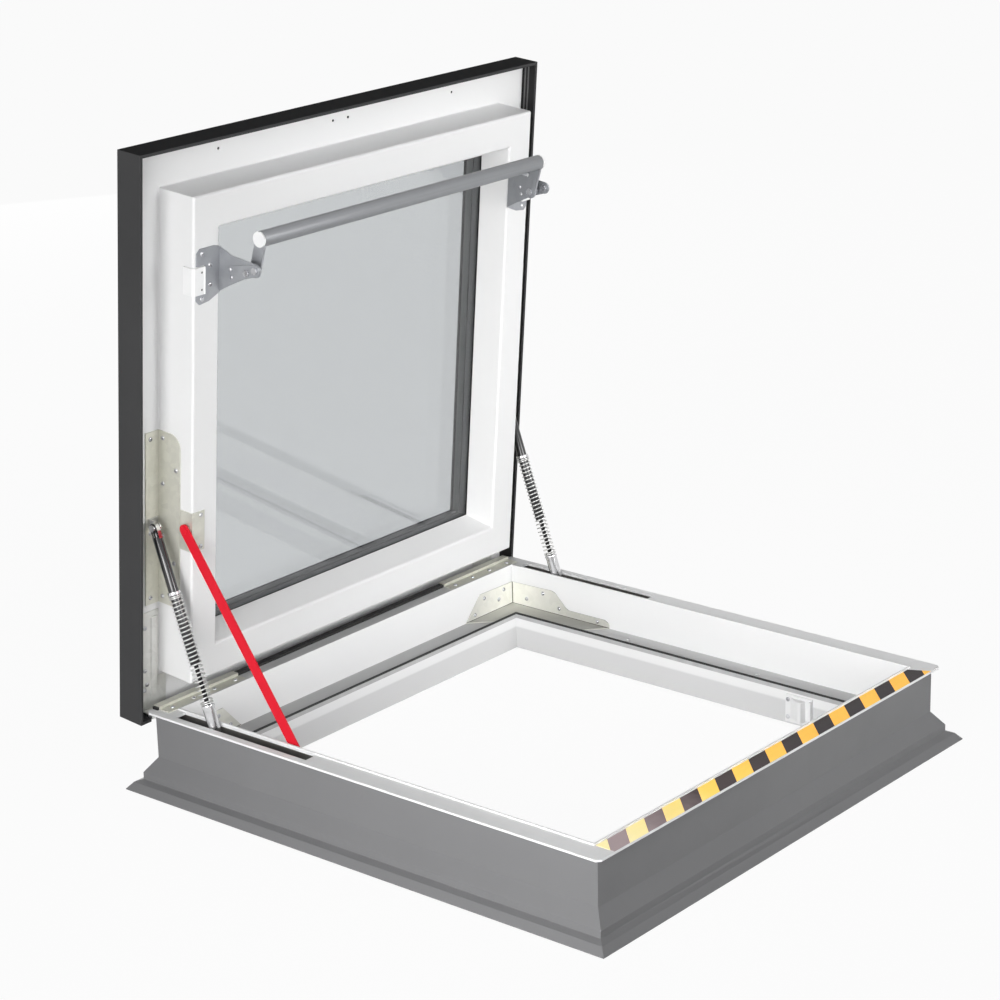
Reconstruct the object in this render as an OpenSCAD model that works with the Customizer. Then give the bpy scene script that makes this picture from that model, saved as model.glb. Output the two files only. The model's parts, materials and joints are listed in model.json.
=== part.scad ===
// Roof access skylight: an upstand frame for a flat roof with a glazed sash that swings open.
// Frame: X along the hinge line, +Y towards the hinge side, +Z up, origin at the centre of the underside.
// The sash is drawn closed in that frame and swung open about the hinge by sash_open.

/* [Frame] */
// Width of the rim across X
rim_w = 1000; // [900:10:1300]
// Length of the rim along Y
rim_l = 1000; // [900:10:1300]
// Height of the frame from its underside to the top of the rim
frame_h = 145; // [140:1:170]
// Width of the flat rim band
rim_band = 43; // [43:1:50]
// Thickness of the rim plate
rim_t = 4; // [3:0.5:5]
// Cut corner of the rim in plan
rim_corner = 7; // [3:1:9]
// Thickness of the inner wall and of the raised lip above it
lip_t = 3.5; // [3:0.25:3.75]
// Height of the raised lip above the rim
lip_h = 3; // [1:0.5:5]
// Wall thickness of the white profile below the rim
pvc_t = 4; // [3:0.5:6]
// Depth of the ledge below the rim
ledge_drop = 78; // [76:1:84]
// Width of the ledge
ledge_w = 50; // [45:1:60]
// Radius of the four roof fixing holes in the ledge
fixing_r = 3.5; // [2.5:0.5:5]
// Distance between the fixing holes along Y
fixing_span_y = 300; // [200:10:400]

/* [Outer upstand] */
// Thickness of the bent sheet
sheet_t = 1.5; // [1:0.25:1.75]
// How far the wall stands back from the rim's edge
wall_inset = 12; // [10:0.5:12.5]
// Height of the straight wall's foot above the underside
wall_foot_z = 58; // [50:1:70]
// Height of the foot of the slope above the underside
slope_foot_z = 31; // [26:1:40]
// Height of the lower step's foot above the underside
step_foot_z = 18; // [14:1:24]
// How far the lower step stands out past the rim's edge
step_out = 8; // [4:1:14]
// How far the roof flange stands out past the rim's edge
flange_out = 31; // [26:1:45]

/* [Sash] */
// Angle that the sash is opened by
sash_open = 85; // [60:1:85]
// Overhang of the lid past the rim on each side
lid_over = 12.5; // [12:0.5:16]
// Thickness of the cover's skirt
skirt_t = 4; // [3:0.5:4.5]
// Depth of the skirt's edge below the rim when closed
skirt_drop = 20.5; // [15:0.5:24]
// Height of the lid's outer face above the rim when closed
lid_rise = 33.5; // [33:0.5:40]
// Thickness of the cover's outer plate
cover_t = 4; // [3:0.5:4.5]
// Width of the cover's outer plate
cover_band = 147; // [140:1:150]
// Gap between the sash box and the frame's inner wall
sash_gap = 17.5; // [17:0.5:20]
// Width of the sash's inner face
sash_band = 61; // [50:1:64]
// Depth of the splayed reveal from the inner face to the glass
reveal_d = 54; // [48:1:58]
// Sideways splay of the reveal
reveal_splay = 18; // [8:1:20]
// Height of the sash's inner face above the ledge when closed
sash_lift = 8; // [7.5:0.5:10]
// Height of the sash flange above the rim when closed
flange_lift = 11; // [10.5:0.5:13]
// Thickness of the sash flange
flange_t = 6; // [4:0.5:8]

/* [Glazing] */
// Thickness of each pane
pane_t = 4; // [3:0.5:6]
// Gap between panes
pane_gap = 15; // [12:1:16]
// Bite of the glass behind the reveal
glass_bite = 27; // [24:1:30]
// Width of the spacer frame
spacer_w = 15; // [12:1:16]
// Inset of the spacer frame from the glass edge
spacer_in = 10; // [8:0.5:11]
// Thickness of the inner glazing gasket
bed_t = 2; // [1:0.5:3]

/* [Hinges] */
// Distance of the hinge axis outside the rim's edge
hinge_out = 5; // [4.5:0.5:6]
// Depth of the hinge axis below the rim
hinge_drop = 15.5; // [14:0.5:17]
// Radius of a hinge knuckle
knuckle_r = 5.5; // [5:0.25:6]
// Radius of the hinge pin
hinge_pin_r = 3; // [2.5:0.25:3.5]
// Distance of each hinge's outer end from the rim's corner
hinge_end = 16; // [14:1:20]
// Thickness of the galvanised plates
plate_t = 2; // [1.5:0.25:2.5]
// Length of the sash leaf along the flange
leaf_l = 185; // [150:5:200]
// Length of each rim plate
rim_plate_l = 195; // [150:5:240]
// Height of the seal strip on the hinge side
seal_h = 5; // [3:0.5:6]
// Width of the seal strip on the hinge side
seal_w = 12; // [8:1:13]

/* [Struts] */
// Length of each slot in the rim
slot_l = 311; // [300:1:330]
// Distance of the slot's hinge end from the rim's edge
slot_end = 59; // [56:1:80]
// Distance of the strut's upper pivot from the hinge axis along the sash
strut_reach = 354; // [345:1:358]
// Depth of the strut's upper pivot below the sash flange
strut_stand = 25; // [22:0.5:26]
// Lean of the opened strut from the vertical
strut_lean = 19.2; // [18:0.2:21]
// Length from the upper pivot to the cross pin
strut_len = 405; // [395:1:415]
// Radius of the gas cylinder
cylinder_r = 9; // [8:0.25:9]
// Length from the upper pivot to the cylinder's end
cylinder_l = 245; // [235:1:250]
// Distance of the collar from the upper pivot
collar_at = 120; // [110:1:130]
// Distance of the guide tube's mouth from the upper pivot
tube_at = 319; // [312:1:325]
// Radius of the piston rod
rod_r = 4; // [3:0.25:5]
// Wire radius of the coil spring
wire_r = 1; // [0.7:0.05:1]
// Turns of the coil spring
spring_turns = 25; // [16:1:28]
// Radius of the pivot pins of the strut, the stay and the handle
pivot_r = 4; // [3:0.25:4.5]

/* [Stay] */
// Distance of the stay's pivot from the hinge axis along the sash
stay_reach = 356; // [345:1:365]
// Height of the stay's pivot above the sash's inner face when closed
stay_rise = 10; // [10:0.5:14]
// Lean of the opened stay from the vertical
stay_lean = 34.9; // [33:0.1:36]
// Length of the stay between its pivots
stay_len = 424; // [410:1:430]
// Width of the stay bar
stay_w = 20; // [18:1:22]
// Thickness of the stay bar
stay_t = 4; // [3:0.5:5]

/* [Handle] */
// Radius of the handle tube
handle_r = 13.5; // [11:0.5:15]
// Distance of each end of the handle tube from its bracket
handle_inset = 13.5; // [11:0.5:20]
// Wall of the handle tube
handle_wall = 2; // [1.5:0.5:4]
// Distance of the handle's pivot from the sash's free edge
handle_set = 126; // [118:1:150]
// Distance of the handle's pivot below the sash's inner face when closed
handle_drop = 67; // [60:1:72]
// Length of the handle arm from its pivot to the tube's centre
arm_l = 59; // [50:1:65]
// Angle of the arm below the sash's plane
arm_dip = 12; // [0:1:20]
// Width of the handle arm
arm_w = 24; // [20:1:28]
// Thickness of the handle arm
arm_t = 4; // [3:0.5:5]

/* [Hazard tape] */
// Thickness of the tape
tape_t = 0.4; // [0.2:0.1:0.8]
// White margin left along the tape
tape_margin = 1.5; // [0.5:0.5:4]

/* [Hidden] */
$fn = 48;
// Clearances: running fit of a pin in its bore, pieces that pass each other, and a piece laid in a recess
run_fit = 0.05;
pass_gap = 0.3;
lay_gap = 0.1;

white = [0.91, 0.91, 0.91];
grey = [0.47, 0.47, 0.48];
dark = [0.18, 0.18, 0.18];
black = [0.06, 0.06, 0.06];
zinc = [0.66, 0.66, 0.61];
steel = [0.6, 0.6, 0.63];
clear = [0.75, 0.82, 0.86, 0.4];

// Frame: half sizes of the inner wall and of the passage, and the ledge's height
in_x = rim_w / 2 - rim_band;
in_y = rim_l / 2 - rim_band;
pass_x = in_x - ledge_w;
pass_y = in_y - ledge_w;
ledge_z = frame_h - ledge_drop;
rim_z = frame_h - rim_t;

// Cavity between the inner wall and the upstand, which the struts fold into
cavity_in = in_x + lip_t;
cavity_out = rim_w / 2 - wall_inset - sheet_t;
cavity_w = cavity_out - cavity_in;
strut_x = (cavity_in + cavity_out) / 2;
slot_w = cavity_w - 1;
slot_y1 = rim_l / 2 - slot_end;
slot_y0 = slot_y1 - slot_l;
channel_t = 1;
channel_hw = cavity_w / 2 - lay_gap;

// Hinge axis and the sash in its closed place
hinge_y = rim_l / 2 + hinge_out;
hinge_z = frame_h - hinge_drop;
hinge_x1 = rim_w / 2 - hinge_end;
frame_knuckle = 10;
sash_knuckle = 21;
hinge_l = 2 * frame_knuckle + sash_knuckle + 2 * pass_gap;
lid_hx = rim_w / 2 + lid_over;
lid_hy = rim_l / 2 + lid_over;
lid_top = frame_h + lid_rise;
skirt_z = frame_h - skirt_drop;
sash_hx = in_x - sash_gap;
sash_hy = in_y - sash_gap;
sash_z = ledge_z + sash_lift;
flange_z = frame_h + flange_lift;
face_x = sash_hx - sash_band;
face_y = sash_hy - sash_band;
view_x = face_x - reveal_splay;
view_y = face_y - reveal_splay;
glass_x = view_x + glass_bite;
glass_y = view_y + glass_bite;
glass_z = sash_z + reveal_d;
glass_top = glass_z + 3 * pane_t + 2 * pane_gap;
rebate = sash_band + reveal_splay - glass_bite - 1.5;
cover_z = lid_top - cover_t;

// Pivots on the closed sash, as [y, z]
strut_pivot = [hinge_y - strut_reach, flange_z - strut_stand];
stay_pivot = [hinge_y - stay_reach, sash_z + stay_rise];
handle_pivot = [handle_set - sash_hy, sash_z - handle_drop];
tube_at_rest = handle_pivot - arm_l * [cos(arm_dip), sin(arm_dip)];
stop_bolt = handle_pivot + [-8, -18];
handle_hl = face_x - handle_inset;

// Guide that centres the closing sash, beside the handle bracket
guide_y0 = handle_pivot[0] - 5;
guide_l = 48;
guide_in = sash_hx - 24;

// Stay: its plane, its upper pivot as opened and its hook
stay_x = (in_x + sash_hx) / 2 - 0.75;
stay_top = opened(stay_pivot);
catch_hw = 14;
catch_up = 10;
catch_down = 20;
hook_z = max(stay_top[1] - stay_len * cos(stay_lean), ledge_z + catch_down + pass_gap);
stay_hook = [stay_top[0] - sqrt(stay_len * stay_len - pow(stay_top[1] - hook_z, 2)), hook_z];

// Spring: mean radius clear of the cylinder
coil_r = cylinder_r + wire_r + 0.7;
seat_r = coil_r + wire_r;

// A [y, z] point of the closed sash after the sash is opened
function opened(p) = let (d = p - [hinge_y, hinge_z])
  [hinge_y + d[0] * cos(sash_open) + d[1] * sin(sash_open),
   hinge_z - d[0] * sin(sash_open) + d[1] * cos(sash_open)];

// Places the closed sash's pieces in the opened place
module on_sash() {
  translate([0, hinge_y, hinge_z]) rotate([-sash_open, 0, 0]) translate([0, -hinge_y, -hinge_z]) children();
}

// Pieces are drawn on the right, at +X; the left one is its mirror image
module at_side(side) { mirror([side < 0 ? 1 : 0, 0, 0]) children(); }

// Strut axes: origin at the upper pivot, +Z down the strut
module on_strut(side) {
  top = opened(strut_pivot);
  translate([side * strut_x, top[0], top[1]]) rotate([180 - strut_lean, 0, 0]) children();
}

// Four lengths of one profile, mitred at the corners of a 2hx by 2hy rectangle
// The profile's x runs outwards from that rectangle and its y is the height
module mitred_frame(hx, hy) {
  reach = 170;
  for (side = [0 : 3]) {
    run = side % 2 == 0 ? hy : hx;
    off = side % 2 == 0 ? hx : hy;
    rotate(90 * side) intersection() {
      translate([off, 0, 0]) rotate([90, 0, 0]) linear_extrude(2 * (run + reach), center = true) children();
      linear_extrude(4 * frame_h, center = true)
        polygon([[off - reach, reach - run], [off + reach, -reach - run],
                 [off + reach, run + reach], [off - reach, run - reach]]);
    }
  }
}

// Profile in the [y, z] plane, extruded along +X from x0
module along_x(x0, length) { translate([x0, 0, 0]) rotate([90, 0, 90]) linear_extrude(length) children(); }

// Profile in the [x, z] plane, extruded along +Y from y0
module along_y(y0, length) {
  translate([0, y0 + length, 0]) rotate([90, 0, 0]) linear_extrude(length) children();
}

// Cylinder along X from x0
module rod_x(x0, length, p, r) { translate([x0, p[0], p[1]]) rotate([0, 90, 0]) cylinder(h = length, r = r); }

module block(lo, hi) { translate(lo) cube(hi - lo); }

// Low domed screw head, standing up from its seat
screw_r = 4.2;
screw_h = 1.4;
module screw_head() {
  rotate_extrude()
    polygon([[0, 0], [screw_r, 0], [screw_r, screw_h * 0.45], [screw_r * 0.6, screw_h], [0, screw_h]]);
}

module outer_upstand() {
  shoulder = [(step_out * 1.1 + flange_out) / 2 + 0.6, step_foot_z - 4.5];
  edge = [flange_out, sheet_t];
  color(grey) mitred_frame(rim_w / 2, rim_l / 2) polygon([
    [-wall_inset, rim_z], [-wall_inset, wall_foot_z], [step_out, slope_foot_z], [step_out, step_foot_z],
    shoulder, edge, [flange_out, 0], [flange_out - 1.3 * sheet_t, 0],
    shoulder - sheet_t * [1, 1], [step_out, step_foot_z] - sheet_t * [1, 1],
    [step_out, slope_foot_z] - sheet_t * [1, 1], [-wall_inset, wall_foot_z] - sheet_t * [1, 1],
    [-wall_inset - sheet_t, rim_z]]);
}

gasket_w = 6;
gasket_seat = 5;
module inner_frame() {
  inner = rim_band + ledge_w;
  foot_out = flange_out - 8;
  corner = 16;
  cut = rim_corner * sqrt(2);
  color(white) difference() {
    mitred_frame(rim_w / 2, rim_l / 2) polygon([
      [0, rim_z], [0, frame_h], [lip_t - rim_band, frame_h], [lip_t - rim_band, frame_h + lip_h],
      [-rim_band, frame_h + lip_h], [-rim_band, ledge_z], [gasket_w - inner, ledge_z],
      [gasket_w - inner, ledge_z - gasket_seat], [-inner, ledge_z - gasket_seat], [-inner, 0],
      [foot_out, 0], [foot_out, pvc_t], [pvc_t - inner, pvc_t], [pvc_t - inner, ledge_z - corner],
      [corner - inner, ledge_z - corner], [corner - inner, ledge_z - pvc_t],
      [lip_t - rim_band, ledge_z - pvc_t], [lip_t - rim_band, rim_z]]);
    for (sx = [-1, 1]) {
      translate([sx * strut_x - slot_w / 2, slot_y0, rim_z - 1]) cube([slot_w, slot_l, rim_t + 2]);
      for (sy = [-1, 1]) {
        translate([sx * rim_w / 2, sy * rim_l / 2, frame_h]) rotate(45)
          cube([cut, cut, 3 * rim_t], center = true);
        translate([sx * (in_x + pass_x) / 2, sy * fixing_span_y / 2, -1]) cylinder(h = frame_h, r = fixing_r);
      }
    }
  }
}

module frame_gasket() {
  top = sash_z - plate_t - pass_gap;
  inner = rim_band + ledge_w;
  color(black) mitred_frame(rim_w / 2, rim_l / 2) polygon([
    [-inner, ledge_z - gasket_seat], [gasket_w - inner, ledge_z - gasket_seat], [gasket_w - inner, ledge_z],
    [gasket_w - inner - 1, top - 2], [gasket_w - inner - 2.5, top], [2 - inner, top], [-inner, top - 2]]);
}

// The seal and the rim plates that step up over it
seal_y1 = rim_l / 2 - 1;
seal_y0 = seal_y1 - seal_w;
module hinge_side_seal() {
  hx = hinge_x1;
  color(black) block([-hx, seal_y0, frame_h], [hx, seal_y1, frame_h + seal_h]);
}

rim_plate_x1 = hinge_x1 - 4;
module rim_plate() {
  top = frame_h + seal_h;
  color(zinc) along_x(rim_plate_x1 - rim_plate_l, rim_plate_l) polygon([
    [in_y + lip_t + 1.5, frame_h], [seal_y0, frame_h], [seal_y0, top], [rim_l / 2, top],
    [rim_l / 2, top + plate_t], [seal_y0 - plate_t, top + plate_t], [seal_y0 - plate_t, frame_h + plate_t],
    [in_y + lip_t + 1.5, frame_h + plate_t]]);
}
module rim_plate_left() at_side(-1) rim_plate();
module rim_plate_right() rim_plate();

module hazard_tape() {
  y0 = tape_margin - rim_l / 2;
  y1 = -in_y - lip_t - tape_margin;
  slant = (y1 - y0) / 4;
  end = in_x + 1;
  color([0.95, 0.75, 0.25]) translate([0, 0, frame_h]) linear_extrude(tape_t)
    polygon([[-end, y0], [end + slant, y0], [end - slant, y1], [-end, y1]]);
}

// Corner bracket: a leg on each wall, cut to a taper, and a foot on the ledge
bracket_short = 143;
bracket_long = 243;
bracket_flat = 101;
bracket_h = 48;
bracket_tail = 16;
module corner_bracket() {
  foot_w = ledge_w - gasket_w - 1;
  color(zinc) {
    translate([in_x, in_y - plate_t, ledge_z]) rotate([90, 0, 180]) linear_extrude(plate_t) polygon([
      [0, 0], [0, bracket_h - 2], [bracket_flat, bracket_h], [bracket_short, 2], [bracket_short, 0]]);
    translate([in_x, in_y, ledge_z]) rotate([90, 0, -90]) linear_extrude(plate_t) polygon([
      [0, 0], [0, bracket_h - 2], [bracket_flat, bracket_h], [bracket_flat + 9, bracket_h - 3],
      [bracket_short - 6, bracket_tail + 3], [bracket_short, bracket_tail], [bracket_long - 12, bracket_tail],
      [bracket_long - 3, bracket_tail - 4], [bracket_long, bracket_tail / 2], [bracket_long, 0]]);
    translate([in_x, in_y, ledge_z]) linear_extrude(plate_t) polygon([
      [0, 0], [-bracket_short, 0], [foot_w - bracket_short, -foot_w], [-foot_w, -foot_w],
      [-foot_w, foot_w - bracket_long], [0, -bracket_long]]);
  }
}
module corner_bracket_left() at_side(-1) corner_bracket();
module corner_bracket_right() corner_bracket();

// Hinge: knuckles on one pin, the outer two on the frame and the middle one on the sash
module knuckle(x0, length) rod_x(x0, length, [hinge_y, hinge_z], knuckle_r);
module pin_bore() {
  rod_x(hinge_x1 - hinge_l - 1, hinge_l + 2, [hinge_y, hinge_z], hinge_pin_r + run_fit);
}
module frame_hinge() {
  wall_y = rim_l / 2 - wall_inset;
  arm_t2 = 1.5;
  color(zinc) difference() {
    union() {
      block([hinge_x1 - hinge_l, wall_y, hinge_z - 24], [hinge_x1, wall_y + plate_t, hinge_z + 8]);
      for (x0 = [hinge_x1 - frame_knuckle, hinge_x1 - hinge_l]) {
        knuckle(x0, frame_knuckle);
        block([x0, wall_y, hinge_z - arm_t2], [x0 + frame_knuckle, hinge_y, hinge_z + arm_t2]);
      }
    }
    pin_bore();
  }
}
module frame_hinge_left() at_side(-1) frame_hinge();
module frame_hinge_right() frame_hinge();

module hinge_pins() {
  color(steel) for (side = [-1, 1]) at_side(side) {
    rod_x(hinge_x1 - hinge_l - 1, hinge_l + 1, [hinge_y, hinge_z], hinge_pin_r);
    rod_x(hinge_x1, 1.5, [hinge_y, hinge_z], hinge_pin_r + 1.5);
  }
}

// Channel under the slot, closed at its ends and open at the top
module strut_channel() {
  y0 = slot_y0 - 8;
  y1 = slot_y1 + 18;
  z0 = ledge_z - 9;
  color([0.35, 0.35, 0.35]) difference() {
    block([strut_x - channel_hw, y0, z0], [strut_x + channel_hw, y1, rim_z]);
    block([strut_x - channel_hw + channel_t, y0 + channel_t, z0 + channel_t],
          [strut_x + channel_hw - channel_t, y1 - channel_t, frame_h]);
  }
}
module strut_channel_left() at_side(-1) strut_channel();
module strut_channel_right() strut_channel();

// Keeper: a screwed plate with a ramp, low on the passage wall
keeper_y = 146 - pass_y;
keeper_hl = 29;
keeper_z0 = 5;
keeper_z1 = ledge_z - 8;
keeper_t = 4;
keeper_ramp = 15;
module keeper() {
  color([0.85, 0.85, 0.85]) {
    block([pass_x - keeper_t, keeper_y - keeper_hl, keeper_z0], [pass_x, keeper_y + keeper_hl, keeper_z1]);
    translate([pass_x, keeper_y, keeper_z0 + 8]) linear_extrude(keeper_z1 - keeper_z0 - 14)
      polygon([[-keeper_t, 17], [-keeper_ramp, -4], [-keeper_ramp, -12], [-keeper_t, -15]]);
    block([pass_x - keeper_t - 5, keeper_y - keeper_hl, keeper_z0 + 14],
          [pass_x - keeper_t, keeper_y - keeper_hl + 5, keeper_z1 - 4]);
  }
}
module keeper_left() at_side(-1) keeper();
module keeper_right() keeper();

// Catch on the left wall: a plate with a headed pin that the stay's hook lies on
module stay_catch() {
  bar_in = stay_x - stay_t / 2;
  y = stay_hook[0];
  z = stay_hook[1];
  color(zinc) at_side(-1) {
    block([in_x - plate_t, y - catch_hw, z - catch_down], [in_x, y + catch_hw, z + catch_up]);
    rod_x(bar_in - pass_gap, in_x - plate_t - bar_in + pass_gap, stay_hook, pivot_r);
    rod_x(bar_in - pass_gap - 1.5, 1.5, stay_hook, pivot_r + 2);
  }
}

module frame_screws() {
  short_leg = [[0.2, 0.79], [0.62, 0.77], [0.31, 0.44], [0.82, 0.23]];
  long_leg = [[0.325, 0.79], [0.156, 0.375], [0.49, 0.31], [0.88, 0.19]];
  color(steel) for (side = [-1, 1]) at_side(side) {
    for (p = short_leg)
      translate([in_x - p[0] * bracket_short, in_y - plate_t, ledge_z + p[1] * bracket_h])
        rotate([90, 0, 0]) screw_head();
    for (p = long_leg)
      translate([in_x - plate_t, in_y - p[0] * bracket_long, ledge_z + p[1] * bracket_h])
        rotate([0, -90, 0]) screw_head();
    for (f = [0.1, 0.37, 0.63, 0.9])
      translate([rim_plate_x1 - f * rim_plate_l, (in_y + lip_t + seal_y0) / 2, frame_h + plate_t])
        screw_head();
    for (z = [keeper_z0 + 10, keeper_z1 - 10])
      translate([pass_x - keeper_t, keeper_y + keeper_hl - 6, z]) rotate([0, -90, 0]) screw_head();
  }
}

// Cover: a flat outer band and a skirt whose free edge is folded back in a hem
hem_t = 2;
hem_h = 14;
module cover_frame() {
  notch_top = hinge_z + knuckle_r + 2;
  hem = skirt_t + hem_t;
  color(dark) on_sash() difference() {
    mitred_frame(lid_hx, lid_hy) polygon([
      [0, skirt_z], [0, lid_top], [-cover_band, lid_top], [-cover_band, cover_z],
      [-skirt_t, cover_z], [-skirt_t, skirt_z + hem_h], [-hem, skirt_z + hem_h], [-hem, skirt_z]]);
    for (side = [-1, 1]) at_side(side)
      block([hinge_x1 - hinge_l - 2, hinge_y, skirt_z - 1], [hinge_x1 + 2.5, lid_hy + 1, notch_top]);
  }
}

module sash_frame() {
  out = lid_hx - skirt_t - sash_hx;
  edge = 3;
  shoulder_z = glass_z - bed_t;
  inner = sash_band + reveal_splay;
  color(white) on_sash() mitred_frame(sash_hx, sash_hy) polygon([
    [0, sash_z + edge], [0, flange_z], [out, flange_z], [out, flange_z + flange_t],
    [edge, flange_z + flange_t], [edge, glass_top], [-rebate, glass_top], [-rebate, shoulder_z],
    [-inner, shoulder_z],
    [-sash_band, sash_z + edge], [edge - sash_band, sash_z], [-edge, sash_z]]);
}

// One sheet of glass, or a ring as deep as the gap between two
module pane(z0) color(clear) on_sash() block([-glass_x, -glass_y, z0], [glass_x, glass_y, z0 + pane_t]);
module spacer(z0) {
  color([0.3, 0.31, 0.32]) on_sash() mitred_frame(glass_x, glass_y)
    polygon([[-spacer_in, z0], [-spacer_in, z0 + pane_gap], [-spacer_in - spacer_w, z0 + pane_gap],
             [-spacer_in - spacer_w, z0]]);
}
module inner_pane() pane(glass_z);
module middle_pane() pane(glass_z + pane_t + pane_gap);
module outer_pane() pane(glass_top - pane_t);
module inner_spacer() spacer(glass_z + pane_t);
module outer_spacer() spacer(glass_z + 2 * pane_t + pane_gap);

module inner_glazing_gasket() {
  color(black) on_sash() mitred_frame(view_x, view_y)
    polygon([[0.5, glass_z - bed_t], [7, glass_z - bed_t], [7, glass_z], [0.5, glass_z]]);
}
module outer_glazing_gasket() {
  w = min(14, glass_x - lid_hx + cover_band);
  color(black) on_sash() mitred_frame(lid_hx - cover_band, lid_hy - cover_band)
    polygon([[0, glass_top], [w, glass_top], [w, cover_z], [0, cover_z]]);
}

// Strut plate: an angle on the flange and the side of the sash box, with one rounded corner
strut_plate_set = 200;
strut_plate_y1 = hinge_y - strut_plate_set;
strut_plate_l = 319;
strut_plate_w = 33;
strut_plate_d = 53;
module strut_plate() {
  y0 = strut_plate_y1 - strut_plate_l;
  round_r = 24;
  z0 = flange_z - strut_plate_d;
  color(zinc) on_sash() {
    block([sash_hx, y0, flange_z - plate_t], [sash_hx + strut_plate_w, strut_plate_y1, flange_z]);
    along_x(sash_hx, plate_t) union() {
      translate([y0 + round_r, z0]) square([strut_plate_l - round_r, strut_plate_d]);
      translate([y0, z0 + round_r]) square([strut_plate_l, strut_plate_d - round_r]);
      translate([y0 + round_r, z0 + round_r]) circle(round_r);
    }
  }
}
module strut_plate_left() at_side(-1) strut_plate();
module strut_plate_right() strut_plate();

// Stud bracket: a bent strip with a foot on the strut plate and a headed stud for the strut's eye
eye_hw = 5;
eye_r = 8;
module strut_stud() {
  foot_z = flange_z - plate_t;
  tab_x1 = strut_x - eye_hw - pass_gap - 1;
  tab_x0 = tab_x1 - plate_t - 0.5;
  hw = 8;
  y = strut_pivot[0];
  z = strut_pivot[1];
  color([0.8, 0.8, 0.78]) on_sash() {
    block([sash_hx + plate_t + 3, y - hw, foot_z - plate_t], [tab_x1, y + hw, foot_z]);
    along_x(tab_x0, tab_x1 - tab_x0) union() {
      translate([y - hw, z]) square([2 * hw, foot_z - z]);
      translate([y, z]) circle(hw);
    }
    rod_x(tab_x1 - 0.5, 2 * (eye_hw + pass_gap) + 1.5, strut_pivot, pivot_r);
    rod_x(strut_x + eye_hw + pass_gap, 2, strut_pivot, pivot_r + 2.5);
    rod_x(tab_x1, 1, strut_pivot, pivot_r + 2.5);
  }
}
module strut_stud_left() at_side(-1) strut_stud();
module strut_stud_right() strut_stud();

// Sash half of a hinge: a ribbed leaf on the flange, bent down to its knuckle
leaf_x0 = sash_hx + 2.5;
leaf_x1 = hinge_x1 - 3;
leaf_y0 = hinge_y - leaf_l - 2;
leaf_tab = 18;
leaf_tab_gap = 7;
rib_hw = 8;
rib_h = 2.5;
rib_end = 12;
module sash_hinge() {
  z1 = flange_z;
  z0 = flange_z - plate_t;
  x0 = hinge_x1 - frame_knuckle - pass_gap - sash_knuckle;
  y1 = hinge_y + plate_t / 2;
  rib_x = leaf_x0 + 1.5 * rib_hw;
  color(zinc) on_sash() difference() {
    union() {
      block([leaf_x0, leaf_y0, z0], [leaf_x1, y1, z1]);
      block([leaf_x0 - leaf_tab, sash_hy + leaf_tab_gap, z0], [leaf_x1, y1, z1]);
      block([leaf_x0, y1 - plate_t, hinge_z + knuckle_r + 2], [leaf_x1, y1, z1]);
      block([x0, y1 - plate_t, hinge_z], [x0 + sash_knuckle, y1, z1]);
      knuckle(x0, sash_knuckle);
      along_y(leaf_y0 + rib_end, seal_y0 - rib_hw - leaf_y0 - rib_end) polygon([
        [rib_x - rib_hw, z0], [rib_x - 0.75 * rib_hw, z0 - rib_h],
        [rib_x + 0.75 * rib_hw, z0 - rib_h], [rib_x + rib_hw, z0]]);
    }
    pin_bore();
  }
}
module sash_hinge_left() at_side(-1) sash_hinge();
module sash_hinge_right() sash_hinge();

// Handle bracket: a plate on the sash's face, bent at its inner edge into a tongue that carries the handle
lobe_x = sash_hx - 5;
bracket_back = 36;
bracket_front = 61;
base_y0 = handle_pivot[0] - bracket_back;
base_y1 = handle_pivot[0] + bracket_front;
base_l = base_y1 - base_y0;
base_w = lobe_x - face_x;
tip_r = 11;
lobe_cut = 8;
module handle_bracket() {
  y = handle_pivot[0];
  z = handle_pivot[1];
  g0 = guide_y0 - 1;
  g1 = guide_y0 + guide_l + 1;
  color(steel) on_sash() difference() {
    union() {
      translate([0, 0, sash_z - plate_t]) linear_extrude(plate_t) polygon([
        [face_x, base_y0 + 0.04 * base_l], [face_x + 0.25 * base_w, base_y0], [lobe_x - lobe_cut, base_y0],
        [lobe_x, base_y0 + lobe_cut], [lobe_x, g0], [guide_in - 1, g0], [guide_in - 1, g1], [lobe_x, g1],
        [lobe_x, base_y1 - lobe_cut], [lobe_x - lobe_cut, base_y1],
        [face_x + 0.46 * base_w, base_y1 - 0.03 * base_l], [face_x, base_y1 - 0.144 * base_l]]);
      along_x(face_x, plate_t) union() {
        polygon([[base_y0 + 0.04 * base_l, sash_z], [y - 0.61 * bracket_back, z + 0.54 * handle_drop],
          [stop_bolt[0] - tip_r, stop_bolt[1]], [stop_bolt[0] + tip_r, stop_bolt[1]],
          [y + 0.21 * bracket_front, z + 0.12 * handle_drop],
          [y + 0.51 * bracket_front, z + 0.61 * handle_drop], [base_y1 - 0.144 * base_l, sash_z]]);
        translate(stop_bolt) circle(tip_r);
      }
    }
    rod_x(face_x - 1, plate_t + 2, handle_pivot, pivot_r + run_fit);
    rod_x(face_x - 1, plate_t + 2, stop_bolt, pivot_r + run_fit);
  }
}
module handle_bracket_left() at_side(-1) handle_bracket();
module handle_bracket_right() handle_bracket();

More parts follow.
